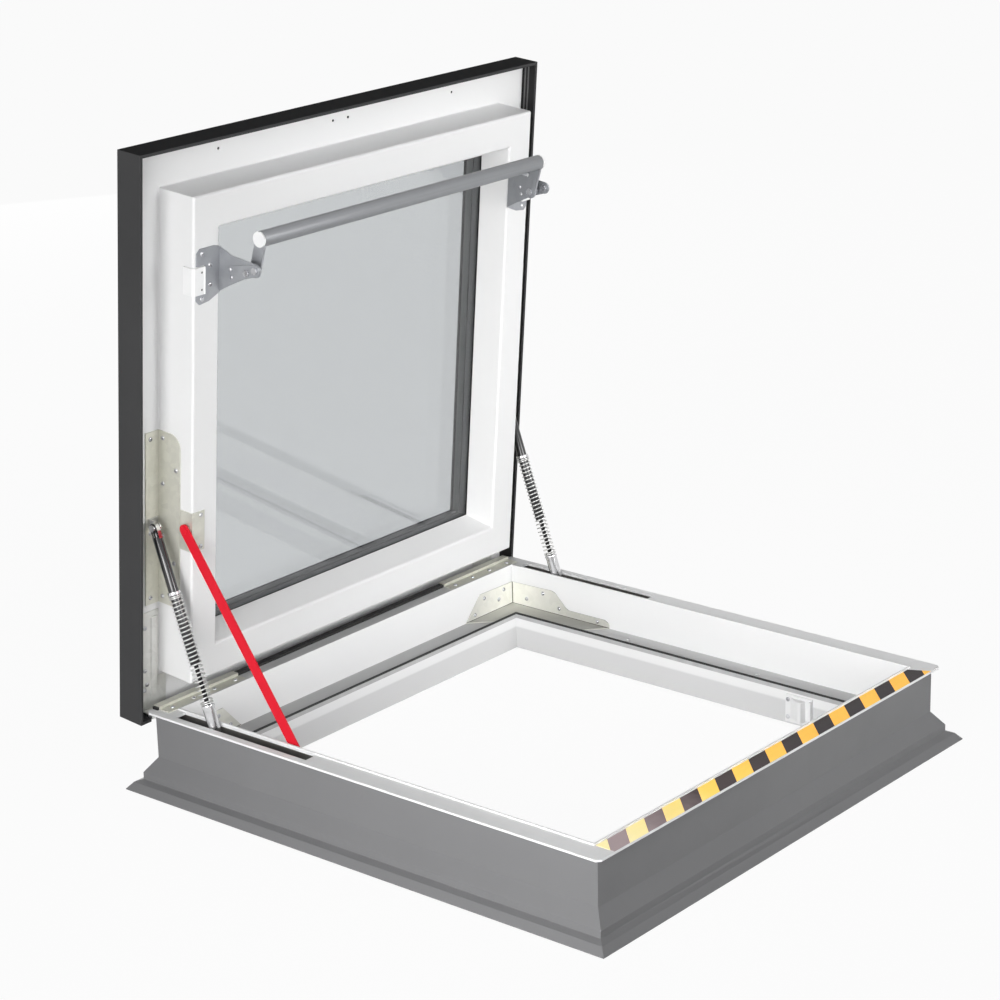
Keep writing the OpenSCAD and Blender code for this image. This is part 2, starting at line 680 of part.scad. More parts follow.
module handle_pivot_plates() {
  y = handle_pivot[0];
  z = handle_pivot[1];
  color(steel) for (side = [-1, 1]) at_side(side) on_sash() difference() {
    along_x(face_x + plate_t, plate_t) union() {
      polygon([[y - 0.03 * bracket_back, z + 0.69 * handle_drop],
        [y - 0.33 * bracket_back, z + 0.15 * handle_drop],
        [stop_bolt[0] - tip_r + 1, stop_bolt[1]], [stop_bolt[0] + tip_r - 1, stop_bolt[1]],
        [y + 0.2 * bracket_front, z + 0.12 * handle_drop],
        [y + 0.43 * bracket_front, z + 0.61 * handle_drop]]);
      translate(stop_bolt) circle(tip_r - 1);
    }
    rod_x(face_x, 3 * plate_t, handle_pivot, pivot_r + run_fit);
    rod_x(face_x, 3 * plate_t, stop_bolt, pivot_r + run_fit);
  }
}

// A bolt along X with a hexagon head outside and a nut inside
module bolt_x(x0, x1, p, head) {
  rod_x(x0, x1 - x0, p, pivot_r);
  translate([x1, p[0], p[1]]) rotate([0, 90, 0]) cylinder(h = head, r = pivot_r + 2.5, $fn = 6);
  translate([x0, p[0], p[1]]) rotate([0, 90, 0]) cylinder(h = head, r = pivot_r + 2.5, $fn = 6);
}
bolt_head = 3.5;
module handle_stop_bolts() {
  color(steel) for (side = [-1, 1]) at_side(side) on_sash()
    bolt_x(face_x - bolt_head, face_x + 2 * plate_t, stop_bolt, bolt_head);
}

// Edge guide: a moulded angle round the sash box's edge
module edge_guide() {
  t = 5;
  side_t = 5;
  side_h = 21;
  color(white) on_sash() along_y(guide_y0, guide_l) polygon([
    [guide_in, sash_z], [guide_in, sash_z - t + 1], [guide_in + 1, sash_z - t], [sash_hx + 1, sash_z - t],
    [sash_hx + side_t, sash_z - 1], [sash_hx + side_t, sash_z + side_h - 2],
    [sash_hx + side_t - 2, sash_z + side_h], [sash_hx, sash_z + side_h], [sash_hx, sash_z + 3],
    [sash_hx - 3, sash_z]]);
}
module edge_guide_left() at_side(-1) edge_guide();
module edge_guide_right() edge_guide();

// Stay bracket: an angle round the sash box's left edge with a headed rivet for the stay
stay_bracket_w = 72;
stay_bracket_lap = 28;
stay_bracket_y0 = stay_pivot[0] - stay_bracket_w / 2 + 5;
module stay_bracket() {
  y1 = stay_bracket_y0 + stay_bracket_w;
  z1 = flange_z - strut_plate_d - 1;
  x1 = sash_hx + plate_t;
  color(zinc) on_sash() at_side(-1) {
    block([sash_hx - stay_bracket_lap, stay_bracket_y0, sash_z - plate_t], [x1, y1, sash_z]);
    block([sash_hx, stay_bracket_y0, sash_z - plate_t], [x1, y1, z1]);
    rod_x(x1, stay_x + stay_t / 2 + pass_gap - x1, stay_pivot, pivot_r);
    rod_x(x1, stay_x - stay_t / 2 - pass_gap - x1, stay_pivot, pivot_r + 3);
    rod_x(stay_x + stay_t / 2 + pass_gap, 1.5, stay_pivot, pivot_r + 2.5);
  }
}

module sash_screws() {
  leaf = [[6, 0.16], [6, 0.6], [11, 0.75], [5, 0.8]];
  color(steel) on_sash() {
    for (side = [-1, 1]) at_side(side) {
      for (f = [0.04, 0.42, 0.96])
        translate([sash_hx + 0.67 * strut_plate_w, strut_plate_y1 - f * strut_plate_l, flange_z - plate_t])
          rotate([180, 0, 0]) screw_head();
      for (p = [[0.04, 0.23], [0.26, 0.75], [0.4, 0.23], [0.7, 0.23], [0.8, 0.83], [0.96, 0.23]])
        translate([sash_hx + plate_t, strut_plate_y1 - p[0] * strut_plate_l, flange_z - p[1] * strut_plate_d])
          rotate([0, 90, 0]) screw_head();
      for (p = leaf)
        translate([leaf_x1 - p[0], leaf_y0 + p[1] * leaf_l, flange_z - plate_t])
          rotate([180, 0, 0]) screw_head();
      for (p = [[0.77, 0.1], [0.43, 0.32], [0.43, 0.68], [0.77, 0.9]])
        translate([face_x + p[0] * base_w, base_y0 + p[1] * base_l, sash_z - plate_t])
          rotate([180, 0, 0]) screw_head();
    }
    for (f = [0.1, 0.9])
      translate([0.7 * stay_bracket_lap - sash_hx, stay_bracket_y0 + f * stay_bracket_w, sash_z - plate_t])
        rotate([180, 0, 0]) screw_head();
  }
}

module handle_tube() {
  color([0.55, 0.56, 0.57]) on_sash() difference() {
    rod_x(-handle_hl, 2 * handle_hl, tube_at_rest, handle_r);
    rod_x(-handle_hl - 1, 2 * handle_hl + 2, tube_at_rest, handle_r - handle_wall);
  }
}
module handle_caps() {
  plug_l = 10;
  color(white) for (side = [-1, 1]) at_side(side) on_sash() {
    rod_x(handle_hl, 3, tube_at_rest, handle_r);
    rod_x(handle_hl - plug_l, plug_l, tube_at_rest, handle_r - handle_wall - run_fit);
  }
}

// Handle arm: a plate from the pivot to a saddle on the tube, with a boss that spaces it from the tongue
arm_x1 = handle_hl - 1;
module handle_arm() {
  color(steel) on_sash() difference() {
    union() {
      along_x(arm_x1 - arm_t, arm_t) union() {
        translate(handle_pivot) circle(arm_w / 2);
        translate(handle_pivot) rotate(180 + arm_dip) translate([0, 0.5 - arm_w / 2])
          square([arm_l, arm_w - 1]);
      }
      rod_x(arm_x1 - 1, face_x - pass_gap - arm_x1 + 1, handle_pivot, pivot_r + 3);
    }
    rod_x(arm_x1 - arm_t - 1, arm_t + 2, tube_at_rest, handle_r);
    rod_x(arm_x1 - arm_t - 1, handle_inset + arm_t + 3, handle_pivot, pivot_r + run_fit);
  }
}
module handle_arm_left() at_side(-1) handle_arm();
module handle_arm_right() handle_arm();
module handle_pivot_bolts() {
  x0 = arm_x1 - arm_t - bolt_head;
  color(steel) for (side = [-1, 1]) at_side(side) on_sash()
    bolt_x(x0, face_x + 2 * plate_t + pass_gap, handle_pivot, bolt_head);
}

// Gas strut: cylinder with an eye, and inside it the piston rod that carries the guide tube
chamber_r = cylinder_r - 1;
bush_l = 10;
module strut_cylinder(side) {
  neck = 20;
  color(black) on_strut(side) difference() {
    union() {
      rod_x(-eye_hw, 2 * eye_hw, [0, 0], eye_r);
      cylinder(h = neck, r = eye_hw);
      translate([0, 0, neck - 4]) cylinder(h = cylinder_l - neck + 4, r = cylinder_r);
    }
    rod_x(-eye_hw - 1, 2 * eye_hw + 2, [0, 0], pivot_r + run_fit);
    translate([0, 0, neck + 12]) cylinder(h = cylinder_l - bush_l - neck - 12, r = chamber_r);
    translate([0, 0, cylinder_l - bush_l - 1]) cylinder(h = bush_l + 2, r = rod_r + run_fit);
  }
}
module strut_cylinder_left() strut_cylinder(-1);
module strut_cylinder_right() strut_cylinder(1);

collar_l = 6;
module strut_collar(side) {
  color([0.8, 0.8, 0.8]) on_strut(side) translate([0, 0, collar_at - collar_l]) difference() {
    cylinder(h = collar_l, r = seat_r);
    translate([0, 0, -1]) cylinder(h = collar_l + 2, r = cylinder_r + run_fit);
  }
}
module strut_collar_left() strut_collar(-1);
module strut_collar_right() strut_collar(1);

tube_floor = 20;
module strut_rod(side) {
  piston_l = 8;
  piston_at = cylinder_l - bush_l - piston_l - 2;
  color(steel) on_strut(side) {
    translate([0, 0, piston_at]) cylinder(h = piston_l, r = chamber_r - run_fit);
    translate([0, 0, piston_at]) cylinder(h = strut_len - tube_floor + 6 - piston_at, r = rod_r);
  }
}
module strut_rod_left() strut_rod(-1);
module strut_rod_right() strut_rod(1);

module strut_tube(side) {
  tube_r = seat_r - 1;
  lug_r = 7;
  foot_gap = 8;
  cross_hl = channel_hw - channel_t - pass_gap;
  color([0.78, 0.78, 0.78]) on_strut(side) difference() {
    union() {
      translate([0, 0, tube_at]) cylinder(h = 3, r = seat_r);
      translate([0, 0, tube_at]) cylinder(h = strut_len - foot_gap - tube_at, r = tube_r);
      translate([0, 0, strut_len - foot_gap - 1]) cylinder(h = foot_gap + 1, r = lug_r);
      rod_x(-cross_hl, 2 * cross_hl, [0, strut_len], 5);
    }
    translate([0, 0, tube_at - 1])
      cylinder(h = strut_len - tube_floor - tube_at + 1, r = cylinder_r + pass_gap);
    translate([0, 0, strut_len - tube_floor - 1]) cylinder(h = 7, r = rod_r + run_fit);
  }
}
module strut_tube_left() strut_tube(-1);
module strut_tube_right() strut_tube(1);

// Coil spring: a round wire swept along a helix between the collar and the guide tube's mouth
coil_steps = 12;
wire_sides = 5;
module strut_spring(side) {
  z0 = collar_at + wire_r + lay_gap;
  z1 = tube_at - wire_r - lay_gap;
  rings = spring_turns * coil_steps;
  function wire_point(i, j) =
    let (a = 360 * i / coil_steps, b = 360 * j / wire_sides, r = coil_r + wire_r * cos(b))
    [r * cos(a), r * sin(a), z0 + (z1 - z0) * i / rings + wire_r * sin(b)];
  points = [for (i = [0 : rings]) for (j = [0 : wire_sides - 1]) wire_point(i, j)];
  walls = [for (i = [0 : rings - 1]) for (j = [0 : wire_sides - 1]) let (k = (j + 1) % wire_sides)
    [i * wire_sides + j, (i + 1) * wire_sides + j, (i + 1) * wire_sides + k, i * wire_sides + k]];
  ends = [[for (j = [0 : wire_sides - 1]) j],
          [for (j = [wire_sides - 1 : -1 : 0]) rings * wire_sides + j]];
  color([0.2, 0.2, 0.2]) on_strut(side) polyhedron(points, concat(walls, ends));
}
module strut_spring_left() strut_spring(-1);
module strut_spring_right() strut_spring(1);

// Stay bar: a flat bar with a bored end and a hook that opens backwards
module stay_bar() {
  hook_r = pivot_r + 0.6;
  color([0.9, 0.17, 0.24]) translate([-stay_x, stay_top[0], stay_top[1]]) rotate([180 - stay_lean, 0, 0])
    along_x(-stay_t / 2, stay_t) difference() {
      union() {
        translate([-stay_w / 2, 0]) square([stay_w, stay_len]);
        circle(stay_w / 2);
        translate([0, stay_len]) circle(stay_w / 2);
      }
      circle(pivot_r + run_fit);
      translate([0, stay_len]) circle(hook_r);
      polygon([[0, stay_len + hook_r], [-stay_w, stay_len + hook_r],
               [-stay_w, stay_len - 3 * hook_r], [0, stay_len - hook_r]]);
    }
}

outer_upstand();
inner_frame();
frame_gasket();
hinge_side_seal();
hazard_tape();
corner_bracket_left();
corner_bracket_right();
rim_plate_left();
rim_plate_right();
frame_hinge_left();
frame_hinge_right();
hinge_pins();
strut_channel_left();
strut_channel_right();
keeper_left();
keeper_right();
stay_catch();
frame_screws();
cover_frame();
sash_frame();
inner_pane();
middle_pane();
outer_pane();
inner_spacer();
outer_spacer();
inner_glazing_gasket();
outer_glazing_gasket();
strut_plate_left();
strut_plate_right();
strut_stud_left();
strut_stud_right();
sash_hinge_left();
sash_hinge_right();
handle_bracket_left();
handle_bracket_right();
handle_pivot_plates();
handle_stop_bolts();
edge_guide_left();
edge_guide_right();
stay_bracket();
sash_screws();
handle_tube();
handle_caps();
handle_arm_left();
handle_arm_right();
handle_pivot_bolts();
strut_cylinder_left();
strut_collar_left();
strut_rod_left();
strut_tube_left();
strut_spring_left();
strut_cylinder_right();
strut_collar_right();
strut_rod_right();
strut_tube_right();
strut_spring_right();
stay_bar();
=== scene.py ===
"""Looks of the roof skylight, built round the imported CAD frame."""

import json
import math

import bmesh
import bpy
from mathutils import Matrix, Vector

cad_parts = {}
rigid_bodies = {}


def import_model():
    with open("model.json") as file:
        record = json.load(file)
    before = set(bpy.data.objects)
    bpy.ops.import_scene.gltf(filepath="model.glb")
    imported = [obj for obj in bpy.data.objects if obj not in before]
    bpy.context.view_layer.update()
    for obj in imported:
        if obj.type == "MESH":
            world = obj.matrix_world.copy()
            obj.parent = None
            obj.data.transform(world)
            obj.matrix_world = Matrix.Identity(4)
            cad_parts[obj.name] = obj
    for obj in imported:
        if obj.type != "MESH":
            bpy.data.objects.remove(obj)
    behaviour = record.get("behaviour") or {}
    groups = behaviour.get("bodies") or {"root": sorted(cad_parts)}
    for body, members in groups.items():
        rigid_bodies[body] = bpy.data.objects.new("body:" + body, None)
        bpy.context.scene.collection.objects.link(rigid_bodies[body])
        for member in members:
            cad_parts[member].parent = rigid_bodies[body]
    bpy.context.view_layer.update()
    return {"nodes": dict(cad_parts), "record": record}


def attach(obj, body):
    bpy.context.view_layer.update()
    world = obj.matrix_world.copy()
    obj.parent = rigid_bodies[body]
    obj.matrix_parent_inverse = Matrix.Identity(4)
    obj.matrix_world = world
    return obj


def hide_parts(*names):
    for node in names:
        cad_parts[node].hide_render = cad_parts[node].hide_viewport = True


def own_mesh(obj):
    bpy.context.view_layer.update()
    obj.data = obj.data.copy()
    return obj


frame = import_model()
NODES = frame["nodes"]
MM = 0.001
SIDES = ((-1, "left"), (1, "right"))

# Camera, solved from the photograph; places in metres
AZIMUTH = math.radians(-50.013)
ELEVATION = math.radians(18.493)
ROLL = math.radians(-1.392)
TARGET = Vector((-0.052957, 0.055443, 0.500177))
DISTANCE = 4.99402
LENS = 104.1
SENSOR = 36

# Range in which a noise texture's value mostly lies
NOISE_LOW, NOISE_HIGH = 0.3, 0.7
# Depth of the grain in a surface, in metres
GRAIN_DEPTH = 0.0004
FINE_GRAIN_DEPTH = 0.0003
TAPE_GRAIN_DEPTH = 0.0005
COAT_ROUGH = 0.15
# Zinc: scale of its spangle cells, their share of the tone beside soft clouds, tone range
SPANGLE_SCALE = 95.0
SPANGLE_SHARE, CLOUD_SHARE = 0.35, 0.65
SPANGLE_LOW, SPANGLE_HIGH = 0.3, 0.68

# Hazard tape: period in metres and phase of the stripes, a painted glare that fades along X in
# metres, and a painted glow of the yellow
STRIPE_PERIOD = 0.0961
STRIPE_PHASE = -0.333
GLARE_FROM, GLARE_TO = -0.46, 0.1
GLARE_SHARE, PATCH_SHARE = 0.8, 0.2
YELLOW_PAINTED_GLOW = 0.32
# Its colours from the end with the painted glare on
TAPE_BLACK = [
    (0.18, (0.52, 0.41, 0.42)),
    (0.45, (0.075, 0.05, 0.052)),
    (0.9, (0.028, 0.021, 0.023)),
]
TAPE_YELLOW = [
    (0.17, (1.0, 0.87, 0.44)),
    (0.5, (1.0, 0.70, 0.13)),
    (0.95, (1.0, 0.53, 0.08)),
]
# Height at which the gasket's grey foot ends, in metres
GASKET_LIP = 0.0698

# Normal's Z from a face that looks aside to one that looks up
UP_FROM, UP_TO = 0.6, 0.8
# Painted shade on the frame: places in metres, and the share of light lost there
LEDGE_TOP, RIM_LOW = 0.10, 0.11
LEDGE_FRONT, LEDGE_BACK = 0.36, 0.41
LEDGE_SHADE, BACK_LEDGE_SHADE = 0.34, 0.55
RIM_FRONT, RIM_BACK = 0.15, 0.45
RIM_SHADE = 0.34
RIM_LEFT, RIM_INSIDE = -0.47, -0.43
LEFT_RIM_SHARE = 0.3
WALL_LOW, WALL_HIGH = 0.042, 0.046
WALL_SHADE = 0.2
# Painted shade on the cover: X of the normal times X of the place, and the share of light kept
SKIRT_INSIDE, SKIRT_OUTSIDE = -0.45, -0.25
SKIRT_SHADE_KEPT = 0.5
FREE_EDGE_SHADE_KEPT = 0.7
# Painted shade on the brackets: corner and way along the legs in metres, share of light kept
BRACKET_CORNER = 0.457
SHADE_FROM, SHADE_TO = 0.04, 0.15
LEG_SHADE_KEPT = 0.66
FOOT_SHADE_KEPT = 0.56

# Edge rounding of the CAD nodes, in mm
ROUND = {
    "inner_frame": 1.0,
    "sash_frame": 1.6,
    "cover_frame": 1.0,
    "outer_upstand": 0.7,
    "handle_tube": 0.6,
    "handle_caps": 0.8,
    "stay_bar": 0.6,
    "edge_guide_left": 0.8,
    "edge_guide_right": 0.8,
    "keeper_left": 0.8,
    "keeper_right": 0.8,
}
PLATE_ROUND = 0.35
NO_ROUND = ("pane", "spacer", "gasket", "seal", "tape", "spring", "screws")
ROUND_ANGLE = math.radians(35)
WELD = 1e-5
# Nodes whose finish differs from that of their material slot; the inner frame's and the brackets'
# finishes carry painted shade
SPECIAL = {
    "corner_bracket_left": "bracket_bright",
    "corner_bracket_right": "bracket_bright",
    "frame_gasket": "two_tone_rubber",
    "inner_frame": "frame_white",
}

# Open struts, in metres: plane, upper pivot as (y, z), lean from the vertical
STRUT_X = 0.4735
STRUT_TOP = (0.475641, 0.482284)
STRUT_LEAN = math.radians(19.2)
# Coil springs, measured down the strut from its upper pivot
COIL_R = 10.43 * MM
WIRE_R = 1.26 * MM
COIL_FROM, COIL_TO = 121.3 * MM, 317.7 * MM
TURNS = 28
END_TURNS = 1.5
END_PITCH = 2.3 * WIRE_R
COIL_STEPS = 28
WIRE_SIDES = 8
# Direction from which the rings of the wire are turned
WIRE_UP = Vector((0, 0.3, 1))
# Clip round a strut's upper eye, in mm
CLIP_R = 8.25
CLIP_T = 0.9
CLIP_HALF = 3.8
CLIP_LEG = 19.0
CLIP_STEPS = 16

# Screw heads: a domed profile and a cross recess, as shares of the radius and height
HEAD_WELD = 1e-6
HEAD_SEGMENTS = 24
HEAD_PROFILE = [(1.0, 0.0), (1.0, 0.35), (0.94, 0.6), (0.84, 0.8), (0.72, 0.92), (0.6, 1.0)]
HEAD_SPIN = 37.0
RIM_SHARE = 0.93
CROSS_HALF = 0.17
CROSS_REACH = 0.52
CROSS_DEPTH = 0.62
CROSS_TAPER = 0.8

# Turned trim: segments of a cap, a rivet and a small screw; edge angles in degrees
CAP_SEGMENTS, RIVET_SEGMENTS, BUTTON_SEGMENTS = 28, 20, 16
SMOOTH_ANGLE, TRIM_ANGLE = 40, 30

# Closed sash, in mm: hinge as (y, z), half width of its box, underside of its flange
HINGE = (505.0, 129.5)
SASH_OPEN = math.radians(85)
SASH_HALF = 439.5
FLANGE_Z = 156.0
# Sealant bead, and where the strut plate ends it
BEAD = 3.0
BEAD_STEPS = 5
PLATE_END = -16.0
# Stay's upper pivot as (y, z), and the outer face of its rivet
STAY_PIVOT = (149.0, 85.0)
STAY_HEAD_X = -450.3
STAY_CAP = [(7.0, 0), (7.0, 1.1), (6.5, 1.5), (5.2, 1.8), (2.5, 1.95)]
# Handle pivot as (y, z), faces of the bracket's tongue and strap, rivets from the pivot
HANDLE_PIVOT = (-313.5, 8.0)
TONGUE_X = 378.5
STRAP_X = TONGUE_X + 4.0
STRAP_RIVETS = ((2.0, 38.0), (15.0, 35.0))
RIVET_DOME = [(3.4, 0), (3.3, 0.6), (2.8, 1.2), (1.8, 1.6), (0.8, 1.75)]
# Small screws through the sash flange
FLANGE_SCREWS = (-302.0, -18.0, 21.0, 302.0)
FLANGE_SCREW_Y = -482.0
FLANGE_BUTTON = [(2.3, 0), (2.2, 0.5), (1.7, 0.9), (0.7, 1.1)]
# Ribs on the inside of the cover's skirt
SKIRT_IN = 508.5
RIB_END = 470.0
RIB_LEVELS = (142.0, 149.5)
RIB_W = 1.6
RIB_H = 1.0
RIB_TOP = 0.4 * RIB_W
RIB_SECTION = ((0, -RIB_W), (RIB_H, -RIB_TOP), (RIB_H, RIB_TOP), (0, RIB_W))
RIB_RUNS = (((-1, 1), (-1, -1)), ((-1, -1), (1, -1)), ((1, -1), (1, 1)))
# Edge guides: inner edge, face, ends, section of the lip from that edge, screws
GUIDE_IN = 415.5
GUIDE_FACE = 70.0
GUIDE_FROM, GUIDE_TO = -318.5, -270.5
GUIDE_LIP = ((1.2, 0.0), (1.6, 1.5), (3.2, 1.5), (3.6, 0.0))
GUIDE_LIP_INSET = 0.8
GUIDE_SCREW_X = 9.0
GUIDE_SCREW_INSET = 9.0
GUIDE_BUTTON = [(1.9, 0), (1.8, 0.4), (1.3, 0.7), (0.6, 0.8)]
# Corner brackets, in mm: faces at the corner, top of the foot, legs, width of the seam lines and of
# the painted shade lines along the bends
CORNER = 455.0
FOOT_Z = 69.0
SHORT_LEG, LONG_LEG, LEG_H = 141.0, 241.0, 44.0
SEAM = 1.3
BEND_SHADE_LINE = 0.5

# Stage
FLOOR_HALF = 30.0
FLOOR_LEVEL = -0.0006
FLOOR_GREY = (0.6, 0.6, 0.6, 1)
FLOOR_GLOW_SHARE = 0.95
HORIZON, ZENITH = 0.45, 0.1
ZENITH_FROM = 0.9
SKY_TINT = (0.97, 0.985, 1, 1)
PANES = ("inner_pane", "middle_pane", "outer_pane")


def clear_defaults():
    for name in ("Cube", "Light", "Camera"):
        found = bpy.data.objects.get(name)
        if found:
            bpy.data.objects.remove(found)


def add_camera():
    back = Vector(
        (
            math.sin(AZIMUTH) * math.cos(ELEVATION),
            -math.cos(AZIMUTH) * math.cos(ELEVATION),
            math.sin(ELEVATION),
        )
    )
    right = (-back).cross(Vector((0, 0, 1))).normalized()
    up = right.cross(-back)
    rolled_right = math.cos(ROLL) * right + math.sin(ROLL) * up
    rolled_up = math.cos(ROLL) * up - math.sin(ROLL) * right
    place = Matrix((rolled_right, rolled_up, back)).transposed().to_4x4()
    place.translation = TARGET + back * DISTANCE
    data = bpy.data.cameras.new("photo_camera")
    data.lens = LENS
    data.sensor_width = SENSOR
    data.clip_end = 100
    camera = bpy.data.objects.new("photo_camera", data)
    camera.matrix_world = place
    bpy.context.scene.collection.objects.link(camera)
    bpy.context.scene.camera = camera


class Nodes:
    """A material's node tree with short calls for the nodes used here."""

    def __init__(self, name):
        self.material = bpy.data.materials.new(name)
        self.material.use_nodes = True
        self.tree = self.material.node_tree
        self.shader = self.tree.nodes["Principled BSDF"]
        coordinates = self.tree.nodes.new("ShaderNodeTexCoord")
        self.place = coordinates.outputs["Object"]
        self.facing = coordinates.outputs["Normal"]

    def link(self, a, b):
        self.tree.links.new(a, b)

    def to_shader(self, value, name):
        self.link(value, self.shader.inputs[name])

    def set_shader(self, **values):
        """Sets shader sockets; an underscore in a key stands for a space."""
        for key, value in values.items():
            self.shader.inputs[key.replace("_", " ")].default_value = value

    def new(self, kind, **values):
        node = self.tree.nodes.new(kind)
        for key, value in values.items():
            setattr(node, key, value)
        return node

    def noise(self, scale, detail=3.0, stretch=None):
        node = self.new("ShaderNodeTexNoise")
        node.inputs["Scale"].default_value = scale
        node.inputs["Detail"].default_value = detail
        vector = self.place
        if stretch:
            mapping = self.new("ShaderNodeMapping")
            mapping.inputs["Scale"].default_value = stretch
            self.link(self.place, mapping.inputs["Vector"])
            vector = mapping.outputs["Vector"]
        self.link(vector, node.inputs["Vector"])
        return node.outputs["Fac"]

    def ramp(self, value, stops):
        node = self.new("ShaderNodeValToRGB")
        elements = node.color_ramp.elements
        while len(elements) < len(stops):
            elements.new(0.5)
        for element, (at, colour) in zip(elements, stops):
            element.position = at
            element.color = (*colour, 1)
        self.link(value, node.inputs["Fac"])
        return node.outputs["Color"]

    def tones(self, value, dark, light):
        """Two tones of a finish, spread by a noise value."""
        return self.ramp(value, [(NOISE_LOW, dark), (NOISE_HIGH, light)])

    def limits(self, value, low, high, at_low, at_high):
        """Maps low..high to at_low..at_high and holds the ends."""
        node = self.new("ShaderNodeMapRange")
        node.inputs["From Min"].default_value = low
        node.inputs["From Max"].default_value = high
        node.inputs["To Min"].default_value = at_low
        node.inputs["To Max"].default_value = at_high
        self.link(value, node.inputs["Value"])
        return node.outputs["Result"]

    def span(self, value, low, high):
        """Spreads a noise value over low..high."""
        return self.limits(value, NOISE_LOW, NOISE_HIGH, low, high)

    def math(self, operation, a, b=None):
        node = self.new("ShaderNodeMath", operation=operation)
        for slot, value in zip(node.inputs, (a, b)):
            if value is None:
                continue
            if isinstance(value, (int, float)):
                slot.default_value = value
            else:
                self.link(value, slot)
        return node.outputs["Value"]

    def axis(self, vector, name):
        node = self.new("ShaderNodeSeparateXYZ")
        self.link(vector, node.inputs["Vector"])
        return node.outputs[name]

    def mix(self, factor, a, b):
        node = self.new("ShaderNodeMix", data_type="RGBA")
        self.link(factor, node.inputs["Factor"])
        self.link(a, node.inputs["A"])
        self.link(b, node.inputs["B"])
        return node.outputs["Result"]

    def facing_up(self, at_side, at_top):
        return self.limits(self.axis(self.facing, "Z"), UP_FROM, UP_TO, at_side, at_top)

    def darken(self, factor):
        """Scales the base colour that is already linked."""
        colour = self.shader.inputs["Base Color"].links[0].from_socket
        scaled = self.new("ShaderNodeVectorMath", operation="SCALE")
        self.link(colour, scaled.inputs[0])
        self.link(factor, scaled.inputs["Scale"])
        self.to_shader(scaled.outputs["Vector"], "Base Color")

    def bump(self, height, strength, distance):
        node = self.new("ShaderNodeBump")
        node.inputs["Strength"].default_value = strength
        node.inputs["Distance"].default_value = distance
        self.link(height, node.inputs["Height"])
        self.to_shader(node.outputs["Normal"], "Normal")


def shade(colour, factor):
    return tuple(min(1.0, c * factor) for c in colour)


def coated(
    name,
    colour,
    rough,
    metallic=0.0,
    vary=0.05,
    patch=4.0,
    grain=700.0,
    bump=0.04,
    coat=0.0,
    gloss=0.5,
    tint=None,
):
    """A finish with soft tone patches, uneven gloss and a fine grain."""
    n = Nodes(name)
    tone = n.tones(n.noise(patch, 4.0), shade(colour, 1 - vary), shade(colour, 1 + vary))
    n.to_shader(tone, "Base Color")
    n.to_shader(n.span(n.noise(patch * 6, 5.0), rough * 0.85, rough * 1.15), "Roughness")
    n.set_shader(Metallic=metallic, Specular_IOR_Level=gloss)
    n.set_shader(Coat_Weight=coat, Coat_Roughness=COAT_ROUGH)
    n.bump(n.noise(grain, 2.0), bump, GRAIN_DEPTH)
    if tint:
        tint(n)
    return n.material


def galvanised(name, light, dark, rough, metallic, tint=None):
    """Zinc coated sheet: spangle cells of slightly different tone and gloss."""
    n = Nodes(name)
    cells = n.new("ShaderNodeTexVoronoi")
    cells.inputs["Scale"].default_value = SPANGLE_SCALE
    n.link(n.place, cells.inputs["Vector"])
    split = n.new("ShaderNodeSeparateColor")
    n.link(cells.outputs["Color"], split.inputs["Color"])
    spangle = split.outputs["Red"]
    cloud = n.math("MULTIPLY", n.noise(7.0, 4.0), CLOUD_SHARE)
    mixed = n.math("ADD", n.math("MULTIPLY", spangle, SPANGLE_SHARE), cloud)
    n.to_shader(n.ramp(mixed, [(SPANGLE_LOW, dark), (SPANGLE_HIGH, light)]), "Base Color")
    n.to_shader(n.span(spangle, rough * 0.85, rough * 1.2), "Roughness")
    n.set_shader(Metallic=metallic)
    n.bump(n.noise(320.0, 3.0), 0.06, FINE_GRAIN_DEPTH)
    if tint:
        tint(n)
    return n.material


def brushed(name, colour, rough, stretch=(1, 1, 1), metallic=0.9, vary=0.08):
    """Drawn or brushed metal with fine streaks along one axis."""
    n = Nodes(name)
    streak = n.noise(60.0, 4.0, stretch)
    n.to_shader(n.tones(streak, shade(colour, 1 - vary), shade(colour, 1 + vary)), "Base Color")
    n.to_shader(n.span(streak, rough * 0.8, rough * 1.25), "Roughness")
    n.set_shader(Metallic=metallic)
    n.bump(streak, 0.05, FINE_GRAIN_DEPTH)
    return n.material


def frame_painted_shade(n):
    """Painted shade on the frame: a darker ledge, hinge-side rim and lower passage wall."""
    height = n.axis(n.place, "Z")
    back = n.axis(n.place, "Y")
    is_ledge = n.limits(height, LEDGE_TOP, RIM_LOW, 1.0, 0.0)
    is_rim = n.limits(height, LEDGE_TOP, RIM_LOW, 0.0, 1.0)
    ledge_shade = n.limits(back, LEDGE_FRONT, LEDGE_BACK, LEDGE_SHADE, BACK_LEDGE_SHADE)
    ledge = n.math("MULTIPLY", ledge_shade, is_ledge)
    off_left = n.limits(n.axis(n.place, "X"), RIM_LEFT, RIM_INSIDE, LEFT_RIM_SHARE, 1.0)
    rim = n.math("MULTIPLY", off_left, n.limits(back, RIM_FRONT, RIM_BACK, 0.0, RIM_SHADE))
    top = n.math("ADD", ledge, n.math("MULTIPLY", rim, is_rim))
    low_wall = n.limits(height, WALL_LOW, WALL_HIGH, WALL_SHADE, 0.0)
    painted_shade = n.math("ADD", n.math("MULTIPLY", n.facing_up(0.0, 1.0), top), low_wall)
    n.darken(n.math("SUBTRACT", 1.0, painted_shade))


def cover_painted_shade(n):
    """Painted shade: darker inside of the cover's skirt and darker free edge, which faces up."""
    outward = n.math("MULTIPLY", n.axis(n.facing, "X"), n.axis(n.place, "X"))
    inner = n.limits(outward, SKIRT_INSIDE, SKIRT_OUTSIDE, SKIRT_SHADE_KEPT, 1.0)
    n.darken(n.math("MULTIPLY", inner, n.facing_up(1.0, FREE_EDGE_SHADE_KEPT)))


